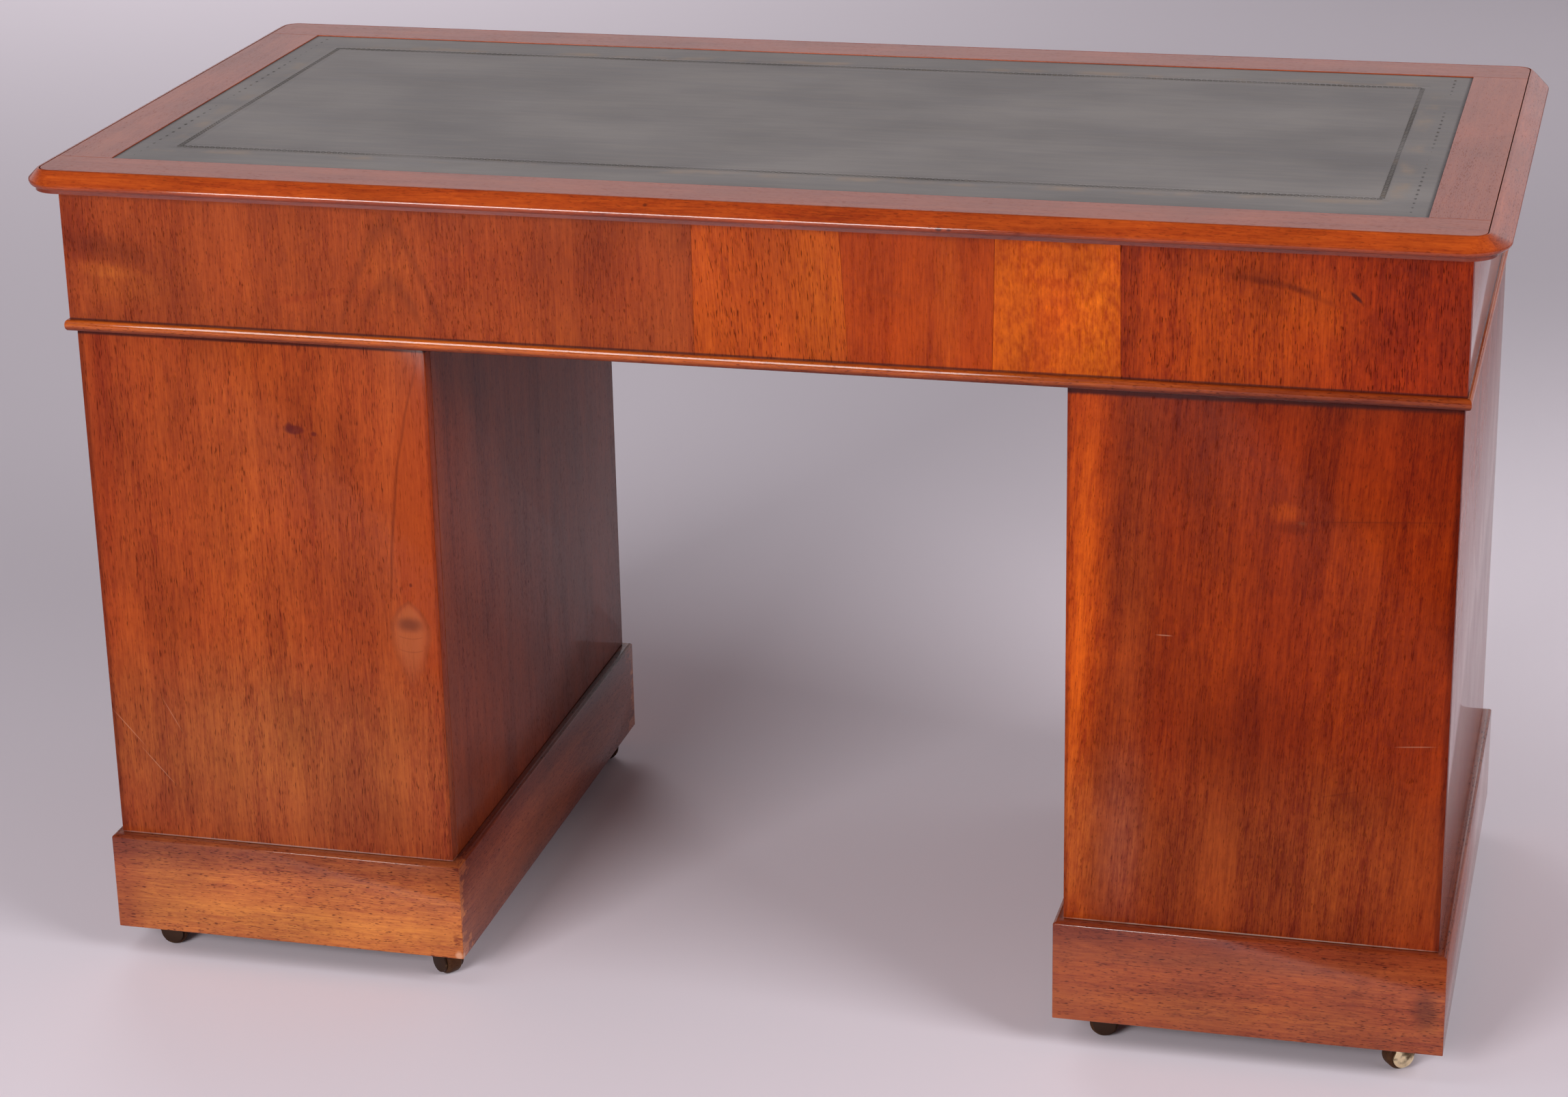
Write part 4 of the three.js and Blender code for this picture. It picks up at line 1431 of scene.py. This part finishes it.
    def edge_moulding(self) -> None:
        """The thumb moulding, carried round the joint with the banding and widened at the short ends."""
        low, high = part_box("top_edge_moulding")
        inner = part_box("top_banding")[1]
        gap = self.moulding_joint / 2
        outline = self._section(self._moulding_profile(high.y - inner.y - gap, low.z, high.z))
        recipe = Recipe(
            "edge_moulding", Length=2 * (inner.x + gap), Depth=2 * (inner.y + gap),
            Corner=self.corner_radius, Corner_Steps=self.corner_steps, Section=outline,
        )
        sides = {"Width": recipe.size("Length"), "Height": recipe.size("Depth")}
        path = recipe.out(recipe.node("GeometryNodeCurvePrimitiveQuadrilateral", {}, sides))
        rounding = {"Curve": path, "Count": recipe.size("Corner_Steps"), "Radius": recipe.size("Corner")}
        rounded = recipe.out(recipe.node("GeometryNodeFilletCurve", {"mode": "POLY"}, rounding))
        level = recipe.node("GeometryNodeSetCurveNormal", {"mode": "Z_UP"}, {"Curve": rounded})
        shape = recipe.node("GeometryNodeObjectInfo", {}, {"Object": recipe.size("Section")})
        section = recipe.out(shape, "Geometry")
        sweep = {"Curve": recipe.out(level), "Profile Curve": section, "Fill Caps": False}
        swept = recipe.out(recipe.node("GeometryNodeCurveToMesh", {}, sweep))
        piece = recipe.make(swept, MOULDING.material())
        bpy.data.objects.remove(outline)
        self._shape_corners(piece, (inner.x + gap, inner.y + gap), (high.x, high.y))
        tidy_faces(piece.data)
        smooth_shaded(piece, FOLDED_SHARP)
        lay_grain(piece, Grain.FRAMED, (high.x, high.y))
        self.fit(piece, "root", MOULDING, "top_edge_moulding")

    def _moulding_profile(self, width: float, foot: float, top: float) -> list[Point]:
        """The moulding's section: a fillet, a round nose and a slope up to a small crest.

        Args:
            width: how far the nose stands out from the joint.
            foot: the height of the underside.
            top: the height of the upper edge.

        Returns:
            (distance out, height) points.
        """
        fillet_out, fillet_high = self.fillet
        fillet_level = foot + fillet_high
        slope = math.radians(self.slope)
        nose_out = width - self.nose_radius
        crest_level = top - self.crest_radius
        smaller = self.crest_radius - self.nose_radius
        nose_level = crest_level + (smaller - nose_out * math.cos(slope)) / math.sin(slope)
        nose_start = math.degrees(math.asin((fillet_level - nose_level) / self.nose_radius))
        round_nose = (self.nose_radius, self.nose_radius)
        round_crest = (self.crest_radius, self.crest_radius)
        return [
            (0.0, foot),
            (fillet_out, foot),
            (fillet_out, fillet_level),
            *arc((nose_out, nose_level), round_nose, (nose_start, self.slope), self.arc_steps),
            *arc((0.0, crest_level), round_crest, (self.slope, 90), self.arc_steps // 2),
        ]

    @staticmethod
    def _section(profile: Sequence[Point]) -> bpy.types.Object:
        """A section's points as a closed curve, to be carried along a path."""
        section = bpy.data.curves.new("moulding_section", "CURVE")
        section.dimensions = "3D"
        spline = section.splines.new("POLY")
        spline.points.add(len(profile) - 1)
        for point, (out, height) in zip(spline.points, profile):
            point.co = (out, -height, 0.0, 1.0)
        spline.use_cyclic_u = True
        return new_object("moulding_section", section)

    def _shape_corners(self, piece: bpy.types.Object, joint: Point, outer: Point) -> None:
        """Moves the swept moulding's outside out to the desk's edge, with rounder corners than the joint has.

        Args:
            piece: the swept moulding.
            joint: half the length and half the depth of the joint that it starts from.
            outer: half the length and half the depth of its outside.
        """
        inner_middle = Vector(joint) - Vector((self.corner_radius, self.corner_radius))
        outer_middle = Vector(outer) - Vector((self.outer_radius, self.outer_radius))
        width = outer[1] - joint[1]
        for vertex in piece.data.vertices:
            x, y, _ = vertex.co
            spoke = Vector((abs(x), abs(y))) - inner_middle
            outward = (spoke.length - self.corner_radius) / width
            direction = spoke.normalized()
            start = inner_middle + direction * self.corner_radius
            end = outer_middle + direction * self.outer_radius
            place = start.lerp(end, outward)
            vertex.co.x, vertex.co.y = math.copysign(place.x, x), math.copysign(place.y, y)


@dataclass
class DrawerSet(Assembly):
    """All the drawers: fronts with their locks and knobs, and the boxes behind them."""

    front_ease: float = 0.9 * MM
    box_ease: float = 0.6 * MM
    key_radius: float = 2.6 * MM
    key_drop: float = 11 * MM
    key_slot: Point = (1.5 * MM, 2.1 * MM)
    key_length: float = 9.5 * MM
    key_steps: int = 22
    rim_width: float = 1.1 * MM
    rim_proud: float = 0.3 * MM
    rim_gap: float = 0.05 * MM
    hole_depth: float = 9 * MM
    knob_steps: int = 48
    spigot: Point = (4.8 * MM, 12 * MM)
    foot_lift: float = 0.3 * MM
    foot_share: float = 0.7
    foot_round: float = 1.2 * MM
    foot_middle: float = 1.6 * MM
    cove_start: float = 3.2 * MM
    cove_hollow: float = 3.6 * MM
    head_share: float = 0.66
    tail_count: int = 4
    tail_length: float = 9 * MM
    tail_proud: float = 0.4 * MM
    tail_share: float = 0.62
    tail_taper: float = 0.35

    def build(self) -> None:
        """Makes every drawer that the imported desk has."""
        for body in self.desk["record"]["behaviour"]["bodies"]:
            if body.endswith("_drawer"):
                self.drawer(body)

    def drawer(self, name: str) -> None:
        """Makes one drawer, with as many knobs as its solid has."""
        low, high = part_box(f"{name}_front")
        centre = Vector(((low.x + high.x) / 2, low.y, high.z - self.key_drop))
        front = self.softened(f"{name}_front", f"{name}_panel", self.front_ease)
        self._cut_keyhole(front, centre)
        lay_grain(front, Grain.LENGTH)
        self.fit(front, name, FRONTS, f"{name}_front")
        rim = self._keyhole_rim(f"{name}_keyhole", centre)
        self.fit(rim, name, LOCK_BRASS)
        box = self.softened(f"{name}_box", f"{name}_carcase", self.box_ease)
        lay_grain(box, Grain.DEPTH)
        self.fit(box, name, LINING, f"{name}_box")
        self._dovetails(name)
        for node in self.desk["record"]["behaviour"]["bodies"][name]:
            if "_knob" in node:
                self._knob(node, name)

    def _keyhole(self, grow: float) -> list[Point]:
        """The keyhole's outline about its round top, made larger all round by a width."""
        radius = self.key_radius + grow
        top, foot = self.key_slot[0] + grow, self.key_slot[1] + grow
        below = self.key_length - self.key_radius + grow
        start = math.degrees(math.asin(top / radius))
        bow = arc((0, 0), (radius, radius), (-90 + start, 270 - start), self.key_steps)
        return [*bow, (-foot, -below), (foot, -below)]

    def _cut_keyhole(self, front: bpy.types.Object, centre: Vector) -> None:
        """Cuts the keyhole into a drawer front."""
        outline = [(centre.x + x, centre.z + z) for x, z in self._keyhole(self.rim_width)]
        cutter = prism("keyhole_cutter", outline, centre.y - self.hole_depth, centre.y + self.hole_depth)
        cut = front.modifiers.new("keyhole", "BOOLEAN")
        cut.operation = "DIFFERENCE"
        cut.solver = "EXACT"
        cut.object = cutter
        bake_modifiers(front)
        bpy.data.objects.remove(cutter)

    def _keyhole_rim(self, name: str, centre: Vector) -> bpy.types.Object:
        """The brass lining let into a keyhole."""
        outer = [(centre.x + x, centre.z + z) for x, z in self._keyhole(self.rim_width - self.rim_gap)]
        inner = [(centre.x + x, centre.z + z) for x, z in self._keyhole(0.0)]
        near, far = centre.y - self.rim_proud, centre.y + self.hole_depth
        loops = [(outer, near), (inner, near), (inner, far), (outer, far)]
        points = [(x, y, z) for loop, y in loops for x, z in loop]
        faces = loop_faces(len(loops), len(outer), closed=True)
        return smooth_shaded(mesh_of(name, points, faces), FOLDED_SHARP)

    def _dovetails(self, name: str) -> None:
        """The ends of the dovetails, showing on both sides of the box at its front."""
        low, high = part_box(f"{name}_box")
        recipe = Recipe(
            f"{name}_dovetails", Length=self.tail_length, Height=high.z - low.z, Proud=self.tail_proud,
            Count=self.tail_count, Half_Width=(high.x - low.x) / 2, Middle=(high.x + low.x) / 2,
            Front=low.y, Floor=low.z,
        )
        tail = self._tail(recipe)
        rows = []
        pitch = recipe.size("Height") / recipe.size("Count")
        for sign in (-1, 1):
            x = recipe.size("Middle") + recipe.size("Half_Width") * sign
            start = recipe.vector(x, recipe.size("Front"), recipe.size("Floor") + pitch * 0.5)
            step = recipe.vector(0.0, 0.0, pitch)
            line = {"Count": recipe.size("Count"), "Start Location": start, "Offset": step}
            spots = recipe.out(recipe.node("GeometryNodeMeshLine", {"mode": "OFFSET"}, line))
            placed = {"Points": spots, "Instance": tail}
            rows.append(recipe.out(recipe.node("GeometryNodeInstanceOnPoints", {}, placed)))
        piece = recipe.make(recipe.join(*rows), LINING.material())
        lay_grain(piece, Grain.DEPTH)
        self.fit(piece, name, LINING)

    def _tail(self, recipe: Recipe) -> Value:
        """One dovetail's end: a thin block that is narrower at the back than at the front."""
        length = recipe.size("Length")
        width = recipe.size("Height") / recipe.size("Count") * self.tail_share
        size = recipe.vector(recipe.size("Proud"), length, width)
        block = recipe.node("GeometryNodeMeshCube", {}, {"Size": size})
        x, y, z = recipe.split(recipe.out(recipe.node("GeometryNodeInputPosition")))
        narrowed = recipe.vector(x, y + length * 0.5, z * (1 - (y / length + 0.5) * self.tail_taper))
        shaped = {"Geometry": recipe.out(block), "Position": narrowed}
        return recipe.out(recipe.node("GeometryNodeSetPosition", {}, shaped))

    def _knob(self, node: str, body: str) -> None:
        """A turned knob with a dished foot, a neck and a crowned head."""
        low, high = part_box(node)
        centre = Vector(((low.x + high.x) / 2, 0.0, (low.z + high.z) / 2))
        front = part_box(f"{body}_front")[0].y
        radius = (high.x - low.x) / 2
        height = front - low.y
        foot = self.foot_share * radius
        spigot, depth = self.spigot
        bend, hollow, head = self.foot_round, self.cove_hollow, self.head_share * height
        profile = [
            (0.0, -depth),
            (spigot, -depth),
            (spigot, self.foot_lift),
            (foot, self.foot_lift),
            *arc((foot - bend, self.foot_middle), (bend, bend), (-60, 90), 6),
            (0.58 * radius, self.cove_start),
            *arc((0.47 * radius + hollow, 0.29 * height), (hollow, 0.15 * height), (240, 120), 8),
            *arc((0.0, head), (radius, 0.18 * height), (-38, 0), 6),
            *arc((0.0, head), (radius, 0.34 * height), (0, 90), 14)[1:],
        ]
        place = Vector((centre.x, front, centre.z))
        knob = lathed(f"{node}_turned", profile, place, Vector((0, -1, 0)), self.knob_steps)
        lay_grain(knob, Grain.DEPTH)
        self.fit(knob, body, TURNED, node)


@dataclass
class Frieze(Assembly):
    """The box under the top: its veneered back and ends, the framed front and the bead at its foot."""

    joint_gap: float = 0.1 * MM
    joints: tuple[Point, ...] = (
        (36.3 * MM, 36.3 * MM), (-97.5 * MM, -90.0 * MM),
        (-219.2 * MM, -221.5 * MM), (-326.8 * MM, -324.8 * MM),
    )
    end_ease: float = 0.5 * MM
    frame_ease: float = 0.7 * MM
    leaf_ease: float = 0.25 * MM
    bead_seat: float = 0.3 * MM
    bead_steps: int = 16
    bead_shoulder: float = 1.6 * MM
    bead_projection: float = 4 * MM
    bead_height: float = 9.7 * MM

    def build(self) -> None:
        """Makes the frieze."""
        self.back()
        for side in ("left", "right"):
            end = self.softened(f"frieze_end_{side}", f"frieze_side_{side}", self.end_ease)
            lay_grain(end, Grain.DEPTH)
            self.fit(end, "root", FRIEZE_ENDS, f"frieze_end_{side}")
        frame = self.softened("frieze_front_frame", "frieze_face_frame", self.frame_ease)
        lay_grain(frame, Grain.LENGTH)
        self.fit(frame, "root", RAILS, "frieze_front_frame")
        self.dress_solid("frieze_runner_bed", LINING_UNSEEN)
        self.bead()

    def back(self) -> None:
        """The back's five leaves of veneer, side by side, each with its own figure."""
        low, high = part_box("frieze_back")
        edges = [(high.x, high.x), *self.joints, (low.x, low.x)]
        half_gap = self.joint_gap / 2
        leaves = []
        for (right, left), finish in zip(zip(edges, edges[1:]), FRIEZE_LEAVES):
            inset = [0.0 if edge in (edges[0], edges[-1]) else half_gap for edge in (right, left)]
            outline = [
                (right[0] - inset[0], low.z), (right[1] - inset[0], high.z),
                (left[1] + inset[1], high.z), (left[0] + inset[1], low.z),
            ]
            leaf = eased(prism(finish.name, outline, low.y, high.y), self.leaf_ease)
            finish.dress(leaf)
            leaves.append(leaf)
        back = joined("frieze_back_veneered", leaves)
        lay_grain(back, Grain.UP)
        self.fit(back, "root", FRIEZE_LEAVES[0], "frieze_back")

    def bead(self) -> None:
        """The half-round bead at the frieze's foot."""
        low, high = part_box("frieze_bead")
        outer = high.x - self.bead_projection
        middle = low.z + self.bead_height / 2
        radii = (self.bead_projection - self.bead_shoulder, self.bead_height / 2)
        profile = [
            (self.bead_seat, low.z),
            *arc((self.bead_shoulder, middle), radii, (-90, 90), self.bead_steps),
            (self.bead_seat, low.z + self.bead_height),
        ]
        bead = mitred_frame("frieze_foot_bead", (outer, high.y - self.bead_projection), profile)
        lay_grain(bead, Grain.FRAMED, (high.x, high.y))
        self.fit(bead, "root", BEAD, "frieze_bead")


@dataclass
class Pedestal(Assembly):
    """One pedestal: its case, veneered back and plinth."""

    side: str
    case_finish: Mahogany
    back_finish: Mahogany
    plinth_finish: Mahogany
    ease: float = 0.8 * MM

    def build(self) -> None:
        """Makes the pedestal."""
        name = f"pedestal_{self.side}"
        case = self.softened(f"{name}_case", f"{name}_carcase", self.ease)
        lay_grain(case, Grain.UP)
        self.fit(case, "root", self.case_finish, f"{name}_case")
        back = self.softened(f"{name}_back", f"{name}_back_board", self.ease)
        lay_grain(back, Grain.UP)
        self.fit(back, "root", self.back_finish, f"{name}_back")
        low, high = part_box(f"{name}_plinth")
        plinth = self.softened(f"{name}_plinth", f"{name}_base", self.ease)
        middle = ((low.x + high.x) / 2, (low.y + high.y) / 2)
        lay_grain(plinth, Grain.FRAMED, ((high.x - low.x) / 2, (high.y - low.y) / 2), middle)
        self.fit(plinth, "root", self.plinth_finish, f"{name}_plinth")


@dataclass
class Castors(Assembly):
    """The eight castors: brass forks with a wooden roller between their horns."""

    ease: float = 0.35 * MM
    ease_degrees: float = 34.0
    roller_edge: float = 3.5 * MM
    edge_steps: int = 6
    pin_radius: float = 2.9 * MM
    roller_steps: int = 48
    rubbed: str = "castor_left_back_outer"

    def build(self) -> None:
        """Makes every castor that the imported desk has."""
        for node in sorted(self.desk["nodes"]):
            if node.endswith("_fork"):
                self.castor(node.removesuffix("_fork"))

    def castor(self, name: str) -> None:
        """Makes one castor's fork and roller."""
        fork = self.softened(f"{name}_fork", f"{name}_horns", self.ease, self.ease_degrees)
        metal = RUBBED_BRASS if name == self.rubbed else CASTOR_BRASS
        self.fit(fork, f"{name}_swivel", metal, f"{name}_fork")
        roller = self._roller(name)
        self.fit(roller, f"{name}_roller", ROLLER, f"{name}_wheel")

    def _roller(self, name: str) -> bpy.types.Object:
        """A turned roller on the axle that the record gives."""
        joints = self.desk["record"]["behaviour"]["joints"]
        joint = next(j for j in joints if j["name"] == f"{name}_roller_turn")
        centre, axis = Vector(joint["pos_m"]), Vector(joint["axis"]).normalized()
        radius = centre.z
        half = self._half_width(name, centre, axis)
        edge = self.roller_edge
        side = arc((radius - edge, half - edge), (edge, edge), (90, 0), self.edge_steps)
        profile = [
            (self.pin_radius, -half), *[(r, -h) for r, h in side], (radius, 0.0), *reversed(side),
            (self.pin_radius, half), (self.pin_radius, -half),
        ]
        return lathed(f"{name}_wooden_roller", profile, centre, axis, self.roller_steps)

    def _half_width(self, name: str, centre: Vector, axis: Vector) -> float:
        """Half the roller's width, from its solid."""
        corners = self.desk["nodes"][f"{name}_wheel"].data.vertices
        return max(abs((v.co - centre).dot(axis)) for v in corners)


# Studio


@dataclass(frozen=True)
class SoftLight:
    """A large soft lamp, which may have a grid that narrows its spread.

    A far one may be kept out of the polish, where it would show as a pale patch.
    """

    name: str
    place: tuple[float, float, float]
    aim: tuple[float, float, float]
    size: Point
    power: float
    spread: float = 180.0
    mirrored: bool = True
    colour: Colour = (1.0, 0.99, 0.99)

    def hang(self) -> None:
        """Adds the lamp to the scene."""
        lamp = bpy.data.lights.new(self.name, "AREA")
        lamp.shape = "RECTANGLE"
        lamp.size, lamp.size_y = self.size
        lamp.energy = self.power
        lamp.color = self.colour
        lamp.spread = math.radians(self.spread)
        light = new_object(self.name, lamp)
        light.location = self.place
        light.rotation_euler = (Vector(self.aim) - Vector(self.place)).to_track_quat("-Z", "Y").to_euler()
        light.visible_camera = False
        light.visible_glossy = self.mirrored


@dataclass
class Studio:
    """A pale floor, soft lights and a camera at the photograph's angle."""

    photo: tuple[int, int] = (2296, 1607)
    focal_pixels: float = 5309.7
    sensor_width: float = 36.0
    camera_place: tuple[float, float, float] = (-0.7688, 3.0918, 1.5336)
    camera_turn: tuple[float, float, float] = (69.59, 1.126, 194.14)
    floor_half: float = 24.0
    wall: Colour = (0.697, 0.646, 0.683)
    dim_wall: Colour = (0.03, 0.028, 0.03)
    ceiling: Colour = (0.02, 0.02, 0.022)
    wall_top: Point = (0.3, 0.66)
    wall_turn: Point = (0.35, -0.6)
    paper: Colour = (0.78, 0.71, 0.78)
    lights: tuple[SoftLight, ...] = (
        SoftLight("key", (1.25, 3.7, 1.6), (0.0, 0.0, 0.4), (1.6, 1.4), 123.0),
        SoftLight("right_fill", (-3.5, 1.5, 2.4), (0.0, 0.0, 0.0), (2.0, 2.0), 107.0, mirrored=False),
        SoftLight("far_left", (2.6, -4.6, 2.6), (1.6, -3.4, 0.0), (2.4, 2.4), 61.0, mirrored=False),
        SoftLight("overhead", (1.2, 0.8, 3.4), (0.6, 0.2, 0.0), (1.6, 1.6), 14.0, mirrored=False),
        SoftLight("far_right", (-1.6, -3.6, 2.6), (-1.6, -3.6, 0.0), (1.4, 1.4), 3.0, 80.0, mirrored=False),
        SoftLight("floor_right", (-1.5, -1.0, 2.4), (-1.3, -1.0, 0.0), (0.8, 0.8), 3.0, 60.0, mirrored=False),
    )

    def build(self) -> None:
        """Sets the studio up."""
        self.floor()
        self.world()
        for light in self.lights:
            light.hang()
        self.camera()
        bpy.context.scene.view_settings.view_transform = "Standard"
        log.info("studio with %d lights", len(self.lights))

    def floor(self) -> None:
        """The pale floor."""
        s = self.floor_half
        plane = bpy.data.meshes.new("studio_floor")
        plane.from_pydata([(-s, -s, 0), (s, -s, 0), (s, s, 0), (-s, s, 0)], [], [(0, 1, 2, 3)])
        floor = new_object("studio_floor", plane)
        material = bpy.data.materials.new("studio_paper")
        material.use_nodes = True
        material.node_tree.nodes.clear()
        graph = Graph(material.node_tree)
        matt = {"Base Color": rgba(self.paper), "Roughness": 0.9, "Specular IOR Level": 0.1}
        graph.node("ShaderNodeOutputMaterial", {}, {"Surface": graph.surface(matt)})
        plane.materials.append(material)

    def world(self) -> None:
        """The room's own light: a pale wall on the drawers' side, dim ones elsewhere, a dark ceiling."""
        world = bpy.data.worlds.new("studio_room")
        world.use_nodes = True
        world.node_tree.nodes.clear()
        graph = Graph(world.node_tree)
        _, forwards, upwards = graph.place("Generated")
        glow = graph.blend(graph.smooth(forwards, *self.wall_turn), self.dim_wall, self.wall)
        glow = graph.blend(graph.smooth(upwards, *self.wall_top), glow, self.ceiling)
        room = graph.node("ShaderNodeBackground", {}, {"Color": glow, "Strength": 1.0})
        graph.node("ShaderNodeOutputWorld", {}, {"Surface": graph.out(room)})
        bpy.context.scene.world = world

    def camera(self) -> None:
        """The camera, at the photograph's place, turn and focal length."""
        lens = bpy.data.cameras.new("photograph_camera")
        lens.sensor_fit = "HORIZONTAL"
        lens.sensor_width = self.sensor_width
        lens.lens = self.focal_pixels * self.sensor_width / self.photo[0]
        camera = new_object("photograph_camera", lens)
        camera.location = self.camera_place
        camera.rotation_euler = Euler([math.radians(a) for a in self.camera_turn], "XYZ")
        bpy.context.scene.camera = camera


def corners(box: tuple[Vector, Vector]) -> list[list[float]]:
    """A box's two corners as plain lists of numbers."""
    return [list(corner) for corner in box]


def main() -> None:
    """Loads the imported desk, builds its assemblies in order and sets the studio up."""
    logging.basicConfig(level=logging.INFO, format="%(message)s")
    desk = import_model()
    TopUnit(desk).build()
    Frieze(desk).build()
    DrawerSet(desk).build()
    Pedestal(desk, "left", LEFT_CASE, LEFT_BACK, LEFT_PLINTH).build()
    Pedestal(desk, "right", RIGHT_CASE, RIGHT_BACK, RIGHT_PLINTH).build()
    Castors(desk).build()
    Studio().build()


if __name__ == "__main__":
    main()
